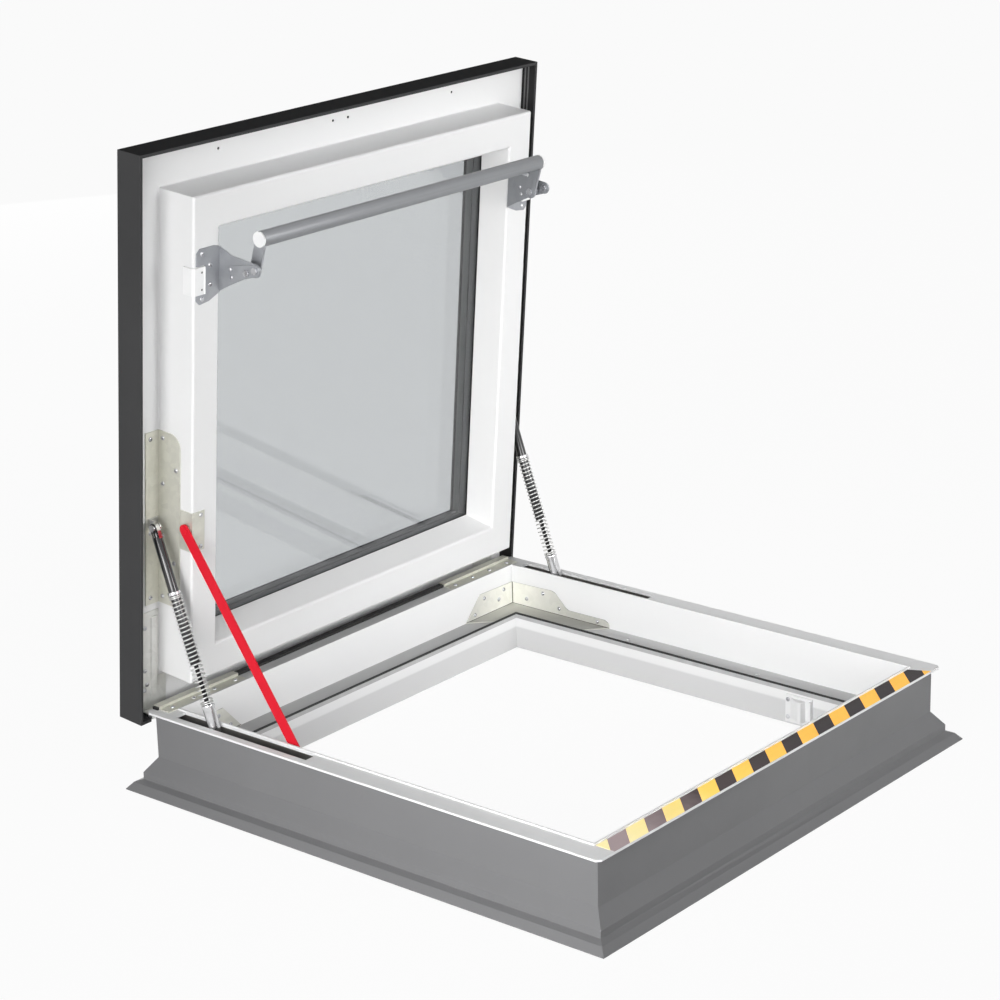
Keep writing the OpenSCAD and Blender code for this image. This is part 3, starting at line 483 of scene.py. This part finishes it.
def bracket_painted_shade(n):
    """Bracket with painted shade that darkens it away from its corner and on the foot that lies on
    the ledge.
    """
    reach = n.math("ADD", n.math("ABSOLUTE", n.axis(n.place, "X")), n.axis(n.place, "Y"))
    corner = 2 * BRACKET_CORNER
    away = n.limits(reach, corner - SHADE_TO, corner - SHADE_FROM, LEG_SHADE_KEPT, 1.0)
    n.darken(n.math("MULTIPLY", away, n.facing_up(1.0, FOOT_SHADE_KEPT)))


def hazard(name):
    """Anti-slip tape: diagonal black and yellow stripes with a gritty face; a painted glare makes
    it paler to one end, and the yellow glows with painted light.
    """
    n = Nodes(name)
    along = n.axis(n.place, "X")
    across = n.math("SUBTRACT", along, n.axis(n.place, "Y"))
    stripes = n.math("ADD", n.math("DIVIDE", across, STRIPE_PERIOD), STRIPE_PHASE)
    is_black = n.math("LESS_THAN", n.math("FRACT", stripes), 0.5)
    grit = n.noise(900.0, 3.0)
    # Painted glare, paler towards the near end, mixed with random patches
    glare = n.math("MULTIPLY", n.limits(along, GLARE_FROM, GLARE_TO, 0.0, 1.0), GLARE_SHARE)
    glare_and_patches = n.math("ADD", glare, n.math("MULTIPLY", n.noise(14.0, 4.0), PATCH_SHARE))
    black = n.ramp(glare_and_patches, TAPE_BLACK)
    yellow = n.ramp(glare_and_patches, TAPE_YELLOW)
    n.to_shader(n.mix(is_black, yellow, black), "Base Color")
    n.to_shader(yellow, "Emission Color")
    # Painted light: the yellow stripes glow
    glow = n.math("MULTIPLY", n.math("SUBTRACT", 1.0, is_black), YELLOW_PAINTED_GLOW)
    n.to_shader(glow, "Emission Strength")
    n.set_shader(Specular_IOR_Level=0.2)
    n.to_shader(n.span(grit, 0.42, 0.6), "Roughness")
    n.bump(grit, 0.25, TAPE_GRAIN_DEPTH)
    return n.material


def two_tone_rubber(name):
    """Gasket with a grey foot and a black upper lip."""
    n = Nodes(name)
    is_lip = n.math("GREATER_THAN", n.axis(n.place, "Z"), GASKET_LIP)
    patch = n.noise(40.0, 3.0)
    foot = n.tones(patch, (0.42, 0.42, 0.42), (0.52, 0.52, 0.52))
    lip = n.tones(patch, (0.010, 0.010, 0.010), (0.018, 0.018, 0.018))
    n.to_shader(n.mix(is_lip, foot, lip), "Base Color")
    n.to_shader(n.span(patch, 0.55, 0.7), "Roughness")
    n.bump(n.noise(600.0, 2.0), 0.1, FINE_GRAIN_DEPTH)
    return n.material


def glazing(name):
    """Faintly tinted clear glass with an uneven film."""
    n = Nodes(name)
    n.set_shader(Base_Color=(0.822, 0.832, 0.838, 1), Transmission_Weight=1.0, IOR=1.46)
    n.to_shader(n.span(n.noise(5.0, 5.0), 0.0, 0.015), "Roughness")
    return n.material


def make_materials():
    """Materials by name; Blender may add a number to a name that the frame already uses."""
    made = {}

    def add(make, name, *values, **options):
        made[name] = make(name, *values, **options)

    sheet = dict(vary=0.04, patch=3.0, bump=0.05, gloss=0.2)
    plastic = dict(rough=0.34, vary=0.012, patch=2.5, grain=160.0, bump=0.006, gloss=0.2)
    moulding = dict(vary=0.02, patch=18.0, bump=0.06, gloss=0.25)
    cover = dict(vary=0.06, patch=5.0, grain=1400.0, bump=0.08, gloss=0.0)
    gloss_black = dict(vary=0.2, patch=30.0, bump=0.02, coat=0.4)
    bright_zinc = ((0.93, 0.925, 0.855), (0.86, 0.855, 0.785), 0.4, 0.15)
    add(coated, "upstand_grey", (0.187, 0.187, 0.191), 0.42, **sheet)
    add(coated, "white_profile", (0.80, 0.80, 0.80), **plastic)
    # The inner frame's white, with painted shade on its ledge, hinge-side rim and lower passage
    # wall
    add(coated, "frame_white", (0.85, 0.85, 0.85), tint=frame_painted_shade, **plastic)
    # Skirt ribs, paler than the cover: a painted highlight
    add(coated, "rib_dark", (0.13, 0.13, 0.132), 0.5, vary=0.1, patch=9.0)
    # Dark seams, and painted shade along the brackets' bends
    add(coated, "seam_dark", (0.09, 0.085, 0.07), 0.6, vary=0.2, patch=30.0)
    add(coated, "black_rubber", (0.012, 0.012, 0.012), 0.6, vary=0.2, patch=30.0, bump=0.15)
    add(hazard, "hazard_tape")
    add(galvanised, "galvanised_steel", (0.68, 0.675, 0.60), (0.60, 0.595, 0.53), 0.42, 0.4)
    # Corner brackets' bright zinc, with painted shade on the legs and the foot
    add(galvanised, "bracket_bright", *bright_zinc, tint=bracket_painted_shade)
    add(galvanised, "hinge_zinc", (0.74, 0.74, 0.71), (0.64, 0.64, 0.61), 0.42, 0.3)
    add(coated, "channel_steel", (0.145, 0.14, 0.13), 0.45, metallic=0.4, vary=0.15, patch=25.0)
    add(coated, "white_moulding", (0.85, 0.85, 0.85), 0.42, **moulding)
    # Dark cover, with painted shade inside its skirt and on its upward free edge
    add(coated, "dark_cover", (0.062, 0.062, 0.063), 0.6, tint=cover_painted_shade, **cover)
    add(glazing, "clear_glass")
    add(brushed, "spacer_bar", (0.30, 0.305, 0.31), 0.5, metallic=0.3)
    add(galvanised, "zinc_steel", (0.37, 0.38, 0.40), (0.33, 0.34, 0.36), 0.42, 0.5)
    add(two_tone_rubber, "two_tone_rubber")
    add(brushed, "handle_grey", (0.24, 0.247, 0.258), 0.48, (0.02, 6, 6), metallic=0.3)
    add(coated, "strut_black", (0.010, 0.010, 0.011), 0.2, **gloss_black)
    add(brushed, "spring_steel", (0.62, 0.62, 0.61), 0.34)
    add(brushed, "bright_steel", (0.66, 0.66, 0.67), 0.18, metallic=1.0)
    add(coated, "stay_red", (0.70, 0.014, 0.03), 0.45, vary=0.04, patch=12.0, gloss=0.12)
    add(brushed, "fastener_zinc", (0.55, 0.55, 0.57), 0.28)
    return made


def dress_nodes(materials):
    """Material and softened edges of each CAD node."""
    slots = {s["node"]: s["material_slot"] for s in frame["record"]["subparts"]}
    for name, node in NODES.items():
        node.data.materials.clear()
        node.data.materials.append(materials[SPECIAL.get(name, slots[name])])
        if any(word in name for word in NO_ROUND):
            continue
        weld = node.modifiers.new("weld", "WELD")
        weld.merge_threshold = WELD
        bevel = node.modifiers.new("edges", "BEVEL")
        bevel.width = ROUND.get(name, PLATE_ROUND) * MM
        bevel.segments = 2
        bevel.limit_method = "ANGLE"
        bevel.angle_limit = ROUND_ANGLE
        bevel.harden_normals = True


def turn_angles(count):
    return [2 * math.pi * k / count for k in range(count)]


def neighbours(ring):
    """Pairs of vertices that follow each other round a ring."""
    return zip(ring, ring[1:] + ring[:1])


def skin(bm, rings):
    """Faces between rings of vertices that follow each other."""
    for low, high in zip(rings, rings[1:]):
        for (a, b), (d, c) in zip(neighbours(low), neighbours(high)):
            bm.faces.new((a, b, c, d))


def loft(bm, rings):
    """Closed solid through rings of vertices, with a cap at each end."""
    skin(bm, rings)
    bm.faces.new(rings[0][::-1])
    bm.faces.new(rings[-1])


def lathe(bm, centre, axis, profile, segments):
    """Turned solid on an axis; profile is [(radius, height)] in mm."""
    turn = Vector(axis).to_track_quat("Z", "Y").to_matrix()
    rings = []
    for r, z in profile:
        ring = []
        for t in turn_angles(segments):
            point = Vector((r * math.cos(t), r * math.sin(t), z)) * MM
            ring.append(bm.verts.new(Vector(centre) + turn @ point))
        rings.append(ring)
    loft(bm, rings)


def to_mesh(name, bm):
    bmesh.ops.recalc_face_normals(bm, faces=bm.faces)
    mesh = bpy.data.meshes.new(name)
    bm.to_mesh(mesh)
    bm.free()
    return mesh


def smooth_mesh(name, bm, angle=SMOOTH_ANGLE):
    """Mesh with smooth faces and edges sharp above an angle in degrees."""
    mesh = to_mesh(name, bm)
    mesh.shade_smooth()
    mesh.set_sharp_from_angle(angle=math.radians(angle))
    return mesh


def add_piece(name, mesh, material, body):
    piece = bpy.data.objects.new(name, mesh)
    mesh.materials.append(material)
    bpy.context.scene.collection.objects.link(piece)
    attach(piece, body)
    return piece


def opened(x, y, z):
    """Place, in metres, of a point given in mm on the closed sash."""
    dy, dz = y - HINGE[0], z - HINGE[1]
    turned_y = dy * math.cos(SASH_OPEN) + dz * math.sin(SASH_OPEN)
    turned_z = dz * math.cos(SASH_OPEN) - dy * math.sin(SASH_OPEN)
    return Vector((x, HINGE[0] + turned_y, HINGE[1] + turned_z)) * MM


def strut_axes(side):
    """Upper pivot of an open strut, and its axes: two across the strut and one down it."""
    origin = Vector((side * STRUT_X, *STRUT_TOP))
    down = Vector((0, -math.sin(STRUT_LEAN), -math.cos(STRUT_LEAN)))
    across = Vector((0, -math.cos(STRUT_LEAN), math.sin(STRUT_LEAN)))
    return origin, Vector((1, 0, 0)), across, down


def tube_mesh(name, path, radius, sides):
    """Closed round tube along a list of points."""
    bm = bmesh.new()
    rings = []
    for i, point in enumerate(path):
        ahead = path[min(i + 1, len(path) - 1)] - path[max(i - 1, 0)]
        side_a = ahead.cross(WIRE_UP).normalized()
        side_b = ahead.cross(side_a).normalized()
        ring = []
        for t in turn_angles(sides):
            out = math.cos(t) * side_a + math.sin(t) * side_b
            ring.append(bm.verts.new(point + radius * out))
        rings.append(ring)
    loft(bm, rings)
    mesh = to_mesh(name, bm)
    for face in mesh.polygons:
        face.use_smooth = len(face.vertices) == 4
    return mesh


def add_spring(side, word, materials):
    """Coil spring with closed end turns, carried by the strut's lower part."""
    origin, ax, ay, az = strut_axes(side)
    total = COIL_TO - COIL_FROM
    closed = END_TURNS * END_PITCH
    path = []
    for i in range(TURNS * COIL_STEPS + 1):
        turn = i / COIL_STEPS
        if turn < END_TURNS:
            along = closed * turn / END_TURNS
        elif turn > TURNS - END_TURNS:
            along = total - closed * (TURNS - turn) / END_TURNS
        else:
            share = (turn - END_TURNS) / (TURNS - 2 * END_TURNS)
            along = closed + (total - 2 * closed) * share
        angle = 2 * math.pi * turn
        out = COIL_R * (math.cos(angle) * ax + math.sin(angle) * ay)
        path.append(origin + out + (COIL_FROM + along) * az)
    name = f"spring_{word}"
    mesh = tube_mesh(name, path, WIRE_R, WIRE_SIDES)
    piece = add_piece(name, mesh, materials["spring_steel"], f"strut_{word}_lower")
    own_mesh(piece)
    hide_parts(f"strut_spring_{word}")


def add_eye_clip(side, word, materials):
    """Bent spring clip round the strut's upper eye, with two legs along the neck."""
    origin, ax, ay, az = strut_axes(side)
    line = [(CLIP_R, CLIP_LEG), (CLIP_R, CLIP_LEG / 2)]
    for k in range(CLIP_STEPS + 1):
        t = math.pi * k / CLIP_STEPS
        line.append((CLIP_R * math.cos(t), -CLIP_R * math.sin(t)))
    line += [(-CLIP_R, CLIP_LEG / 2), (-CLIP_R, CLIP_LEG)]
    bm = bmesh.new()
    rings = []
    for y, z in line:
        inner = Vector((0, y, z))
        normal = Vector((0, 1 if y > 0 else -1, 0)) if z > 0 else inner.normalized()
        outer = inner + CLIP_T * normal
        ring = []
        for point, x in ((inner, -1), (inner, 1), (outer, 1), (outer, -1)):
            offset = x * CLIP_HALF * ax + point.y * ay + point.z * az
            ring.append(bm.verts.new(origin + offset * MM))
        rings.append(ring)
    loft(bm, rings)
    name = f"eye_clip_{word}"
    mesh = smooth_mesh(name, bm)
    add_piece(name, mesh, materials["bright_steel"], f"strut_{word}_upper")


def islands(mesh):
    """Connected groups of vertex places, after welding doubles."""
    bm = bmesh.new()
    bm.from_mesh(mesh)
    bmesh.ops.remove_doubles(bm, verts=bm.verts, dist=HEAD_WELD)
    seen, groups = set(), []
    for start in bm.verts:
        if start in seen:
            continue
        group, stack = [], [start]
        seen.add(start)
        while stack:
            vert = stack.pop()
            group.append(vert.co.copy())
            for edge in vert.link_edges:
                other = edge.other_vert(vert)
                if other not in seen:
                    seen.add(other)
                    stack.append(other)
        groups.append(group)
    bm.free()
    return groups


def head_axes(points):
    """Seat centre, outward axis, radius and height of a low domed head."""
    centre = sum(points, Vector()) / len(points)
    wide = max((p - centre).length for p in points)
    rim = [p for p in points if (p - centre).length > RIM_SHARE * wide]
    first = rim[0] - centre
    second = max((p - centre for p in rim), key=lambda v: first.cross(v).length)
    axis = first.cross(second).normalized()
    levels = [(p - centre).dot(axis) for p in points]
    rim_level = sum((p - centre).dot(axis) for p in rim) / len(rim)
    if max(levels) - rim_level < rim_level - min(levels):
        axis, levels = -axis, [-v for v in levels]
    seat = centre + axis * min(levels)
    radius = max(((p - centre) - axis * (p - centre).dot(axis)).length for p in points)
    return seat, axis, radius, max(levels) - min(levels)


def cross_outline():
    """Corners of a cross, as shares of the head's radius, in turn."""
    quarter = [(CROSS_REACH, -CROSS_HALF), (CROSS_REACH, CROSS_HALF), (CROSS_HALF, CROSS_HALF)]
    corners = []
    for _ in range(4):
        corners += quarter
        quarter = [(-y, x) for x, y in quarter]
    return corners


def add_head(bm, seat, axis, radius, height):
    """Domed head with a cross recess, standing on its seat."""
    turn = axis.to_track_quat("Z", "Y").to_matrix()
    spin = Matrix.Rotation(HEAD_SPIN * (seat.x + seat.y + seat.z), 3, "Z")

    def put(x, y, z):
        return bm.verts.new(seat + turn @ (spin @ Vector((radius * x, radius * y, height * z))))

    rings = []
    for r, z in HEAD_PROFILE:
        rings.append([put(r * math.cos(t), r * math.sin(t), z) for t in turn_angles(HEAD_SEGMENTS)])
    skin(bm, rings)
    bm.faces.new(rings[0][::-1])
    cross = cross_outline()
    top = [put(x, y, 1.0) for x, y in cross]
    low = [put(x * CROSS_TAPER, y * CROSS_TAPER, 1.0 - CROSS_DEPTH) for x, y in cross]
    edges = [bm.edges.get(pair) for pair in neighbours(rings[-1])]
    edges += [bm.edges.new(pair) for pair in neighbours(top)]
    bmesh.ops.triangle_fill(bm, use_beauty=True, use_dissolve=False, edges=edges)
    skin(bm, [top, low])
    bm.faces.new(low)


def add_screws(node, name, body, materials):
    """Screw heads in place of a CAD node's plain ones."""
    bm = bmesh.new()
    for group in islands(NODES[node].data):
        add_head(bm, *head_axes(group))
    mesh = to_mesh(name, bm)
    piece = add_piece(name, mesh, materials["fastener_zinc"], body)
    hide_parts(node)


def add_bead(bm, start, end, out_a, out_b):
    """Hollow bead from start to end in the corner of two faces of the sash."""
    rings = []
    for along in (start, end):
        ring = [along]
        for k in range(BEAD_STEPS + 1):
            t = math.pi / 2 * k / BEAD_STEPS
            offset = Vector(out_a) * (1 - math.sin(t)) + Vector(out_b) * (1 - math.cos(t))
            ring.append(Vector(along) + BEAD * offset)
        rings.append([bm.verts.new(opened(*point)) for point in ring])
    loft(bm, rings)


def add_root_beads(materials):
    """Bead of sealant where the sash box meets its flange."""
    bm = bmesh.new()
    h, z = SASH_HALF, FLANGE_Z
    for side, _ in SIDES:
        add_bead(bm, (side * h, -h, z), (side * h, PLATE_END, z), (side, 0, 0), (0, 0, -1))
    add_bead(bm, (-h, -h, z), (h, -h, z), (0, -1, 0), (0, 0, -1))
    mesh = smooth_mesh("root_bead", bm)
    add_piece("root_bead", mesh, materials["white_profile"], "sash")


def add_stay_cap(materials):
    """Painted cap over the stay's rivet head."""
    bm = bmesh.new()
    lathe(bm, opened(STAY_HEAD_X, *STAY_PIVOT), (-1, 0, 0), STAY_CAP, CAP_SEGMENTS)
    mesh = smooth_mesh("stay_rivet_cap", bm)
    add_piece("stay_rivet_cap", mesh, materials["stay_red"], "sash")


def add_strap_rivets(materials):
    """Rivets that hold each pivot plate to its bracket, with a head on both faces."""
    bm = bmesh.new()
    for side, _ in SIDES:
        for dy, dz in STRAP_RIVETS:
            for x, way in ((STRAP_X, side), (TONGUE_X, -side)):
                centre = opened(side * x, HANDLE_PIVOT[0] + dy, HANDLE_PIVOT[1] + dz)
                lathe(bm, centre, (way, 0, 0), RIVET_DOME, RIVET_SEGMENTS)
    mesh = smooth_mesh("strap_rivets", bm)
    add_piece("strap_rivets", mesh, materials["fastener_zinc"], "sash")


def inside_normal():
    """Direction that the inner face of the open sash looks in."""
    return opened(0, 0, -1) - opened(0, 0, 0)


def add_flange_screws(materials):
    """Small dark screws through the sash flange on the free side."""
    bm = bmesh.new()
    for x in FLANGE_SCREWS:
        centre = opened(x, FLANGE_SCREW_Y, FLANGE_Z)
        lathe(bm, centre, inside_normal(), FLANGE_BUTTON, BUTTON_SEGMENTS)
    mesh = smooth_mesh("flange_screws", bm)
    add_piece("flange_screws", mesh, materials["strut_black"], "sash")


def add_skirt_ribs(materials):
    """Two rolled ribs along the inside of the cover's skirt, on its three free sides, in a paler
    grey than the cover for a painted highlight.
    """
    bm = bmesh.new()
    for level in RIB_LEVELS:
        for run in RIB_RUNS:
            rings = []
            for end_x, end_y in run:
                ring = []
                for depth, rise in RIB_SECTION:
                    at = SKIRT_IN - depth
                    y = -at if end_y < 0 else RIB_END
                    ring.append(bm.verts.new(opened(end_x * at, y, level + rise)))
                rings.append(ring)
            loft(bm, rings)
    mesh = smooth_mesh("skirt_ribs", bm, TRIM_ANGLE)
    add_piece("skirt_ribs", mesh, materials["rib_dark"], "sash")


def add_strip(bm, start, end, side_a, side_b):
    """Thin three-sided strip along an inner corner; places in mm."""
    rings = []
    for point in (Vector(start), Vector(end)):
        corners = (point, point + SEAM * Vector(side_a), point + SEAM * Vector(side_b))
        rings.append([bm.verts.new(corner * MM) for corner in corners])
    loft(bm, rings)


def add_seams_and_bend_shade(materials):
    """Open seam of each corner bracket, and dark strips of painted shade along its bend lines."""
    bm = bmesh.new()
    bend_shade_width = BEND_SHADE_LINE
    for side, _ in SIDES:
        corner = side * CORNER
        root = (corner, CORNER, FOOT_Z)
        short_end = (corner - side * SHORT_LEG, CORNER, FOOT_Z)
        long_end = (corner, CORNER - LONG_LEG, FOOT_Z)
        add_strip(bm, root, (corner, CORNER, FOOT_Z + LEG_H), (-side, 0, 0), (0, -1, 0))
        add_strip(bm, root, short_end, (0, -bend_shade_width, 0), (0, 0, bend_shade_width))
        add_strip(bm, root, long_end, (-bend_shade_width * side, 0, 0), (0, 0, bend_shade_width))
    mesh = smooth_mesh("corner_seams_and_bend_shade", bm, TRIM_ANGLE)
    add_piece("corner_seams_and_bend_shade", mesh, materials["seam_dark"], "frame")


def add_guide_trim(materials):
    """Raised lip and two small screws on the face of each edge guide."""
    lips, screws = bmesh.new(), bmesh.new()
    for side, _ in SIDES:
        rings = []
        for y in (GUIDE_FROM + GUIDE_LIP_INSET, GUIDE_TO - GUIDE_LIP_INSET):
            ring = []
            for x, z in GUIDE_LIP:
                ring.append(lips.verts.new(opened(side * (GUIDE_IN + x), y, GUIDE_FACE - z)))
            rings.append(ring)
        loft(lips, rings)
        x = side * (GUIDE_IN + GUIDE_SCREW_X)
        for y in (GUIDE_FROM + GUIDE_SCREW_INSET, GUIDE_TO - GUIDE_SCREW_INSET):
            centre = opened(x, y, GUIDE_FACE)
            lathe(screws, centre, inside_normal(), GUIDE_BUTTON, BUTTON_SEGMENTS)
    mesh = smooth_mesh("guide_lips", lips, TRIM_ANGLE)
    add_piece("guide_lips", mesh, materials["white_moulding"], "sash")
    mesh = smooth_mesh("guide_screws", screws)
    add_piece("guide_screws", mesh, materials["channel_steel"], "sash")


def any_seen(tree):
    """1 on rays that show the background: camera, transmission and glossy."""
    path = tree.nodes.new("ShaderNodeLightPath")
    value = path.outputs["Is Camera Ray"]
    for kind in ("Is Transmission Ray", "Is Glossy Ray"):
        node = tree.nodes.new("ShaderNodeMath")
        node.operation = "MAXIMUM"
        tree.links.new(value, node.inputs[0])
        tree.links.new(path.outputs[kind], node.inputs[1])
        value = node.outputs["Value"]
    return value


def add_floor():
    """White floor to the eye, and pale grey to the light, so that it keeps the shadow."""
    h, z = FLOOR_HALF, FLOOR_LEVEL
    mesh = bpy.data.meshes.new("floor")
    mesh.from_pydata([(-h, -h, z), (h, -h, z), (h, h, z), (-h, h, z)], [], [(0, 1, 2, 3)])
    floor = bpy.data.objects.new("floor", mesh)
    bpy.context.scene.collection.objects.link(floor)
    material = bpy.data.materials.new("floor")
    material.use_nodes = True
    tree = material.node_tree
    tree.nodes.clear()
    out = tree.nodes.new("ShaderNodeOutputMaterial")
    diffuse = tree.nodes.new("ShaderNodeBsdfDiffuse")
    diffuse.inputs["Color"].default_value = FLOOR_GREY
    glow = tree.nodes.new("ShaderNodeEmission")
    glow.inputs["Strength"].default_value = 1.0
    mix = tree.nodes.new("ShaderNodeMixShader")
    share = tree.nodes.new("ShaderNodeMath")
    share.operation = "MULTIPLY"
    share.inputs[1].default_value = FLOOR_GLOW_SHARE
    tree.links.new(any_seen(tree), share.inputs[0])
    tree.links.new(share.outputs[0], mix.inputs["Fac"])
    tree.links.new(diffuse.outputs[0], mix.inputs[1])
    tree.links.new(glow.outputs[0], mix.inputs[2])
    tree.links.new(mix.outputs[0], out.inputs["Surface"])
    mesh.materials.append(material)


def add_world():
    """White to the eye; as light, a soft sky that is brightest at the horizon."""
    world = bpy.context.scene.world or bpy.data.worlds.new("world")
    bpy.context.scene.world = world
    world.use_nodes = True
    tree = world.node_tree
    tree.nodes.clear()
    out = tree.nodes.new("ShaderNodeOutputWorld")
    seen = tree.nodes.new("ShaderNodeBackground")
    seen.inputs["Color"].default_value = (1, 1, 1, 1)
    seen.inputs["Strength"].default_value = 1.0
    fill = tree.nodes.new("ShaderNodeBackground")
    fill.inputs["Color"].default_value = SKY_TINT
    axes = tree.nodes.new("ShaderNodeSeparateXYZ")
    toward = tree.nodes.new("ShaderNodeTexCoord")
    level = tree.nodes.new("ShaderNodeMapRange")
    level.inputs["From Min"].default_value = 0.0
    level.inputs["From Max"].default_value = ZENITH_FROM
    level.inputs["To Min"].default_value = HORIZON
    level.inputs["To Max"].default_value = ZENITH
    mix = tree.nodes.new("ShaderNodeMixShader")
    tree.links.new(toward.outputs["Generated"], axes.inputs["Vector"])
    tree.links.new(axes.outputs["Z"], level.inputs["Value"])
    tree.links.new(level.outputs["Result"], fill.inputs["Strength"])
    tree.links.new(any_seen(tree), mix.inputs["Fac"])
    tree.links.new(fill.outputs[0], mix.inputs[1])
    tree.links.new(seen.outputs[0], mix.inputs[2])
    tree.links.new(mix.outputs[0], out.inputs["Surface"])


def add_light(name, place, aim, size, power, spread=180):
    data = bpy.data.lights.new(name, "AREA")
    data.spread = math.radians(spread)
    data.size = size
    data.energy = power
    lamp = bpy.data.objects.new(name, data)
    lamp.location = place
    lamp.rotation_mode = "QUATERNION"
    lamp.rotation_quaternion = (Vector(aim) - Vector(place)).to_track_quat("-Z", "Y")
    bpy.context.scene.collection.objects.link(lamp)


def keep_lamps_out_of_glass():
    """No lamp shows as a hard white square in the panes; they show the background."""
    panes = bpy.data.collections.new("panes_without_lamps")
    for name in PANES:
        panes.objects.link(NODES[name])
    for item in panes.collection_objects:
        item.light_linking.link_state = "EXCLUDE"
    for lamp in bpy.context.scene.objects:
        if lamp.type == "LIGHT":
            lamp.light_linking.receiver_collection = panes


def add_lights():
    middle, ledge, lid, base = (0, 0, 0.45), (0, -0.3, 0.06), (0.4, 0.45, 0.72), (0, 0, 0.1)
    add_light("key_left", (-4.4, -1.2, 1.25), middle, size=3.0, power=160)
    add_light("low_left", (-3.0, -0.7, 1.1), ledge, size=1.0, power=2.6, spread=40)
    add_light("back_fill", (2.6, 4.2, 0.9), middle, size=2.5, power=45)
    add_light("front_fill", (0.5, -3.2, 1.5), lid, size=1.6, power=8.2, spread=42)
    add_light("top_soft", (0.4, -1.0, 4.6), base, size=3.0, power=5)
    keep_lamps_out_of_glass()


clear_defaults()
bpy.context.scene.view_settings.view_transform = "Standard"
add_camera()
MATERIALS = make_materials()
dress_nodes(MATERIALS)
for side, word in SIDES:
    add_spring(side, word, MATERIALS)
    add_eye_clip(side, word, MATERIALS)
add_screws("frame_screws", "frame_screw_heads", "frame", MATERIALS)
add_screws("sash_screws", "sash_screw_heads", "sash", MATERIALS)
add_root_beads(MATERIALS)
add_stay_cap(MATERIALS)
add_strap_rivets(MATERIALS)
add_flange_screws(MATERIALS)
add_skirt_ribs(MATERIALS)
add_seams_and_bend_shade(MATERIALS)
add_guide_trim(MATERIALS)
add_floor()
add_world()
add_lights()
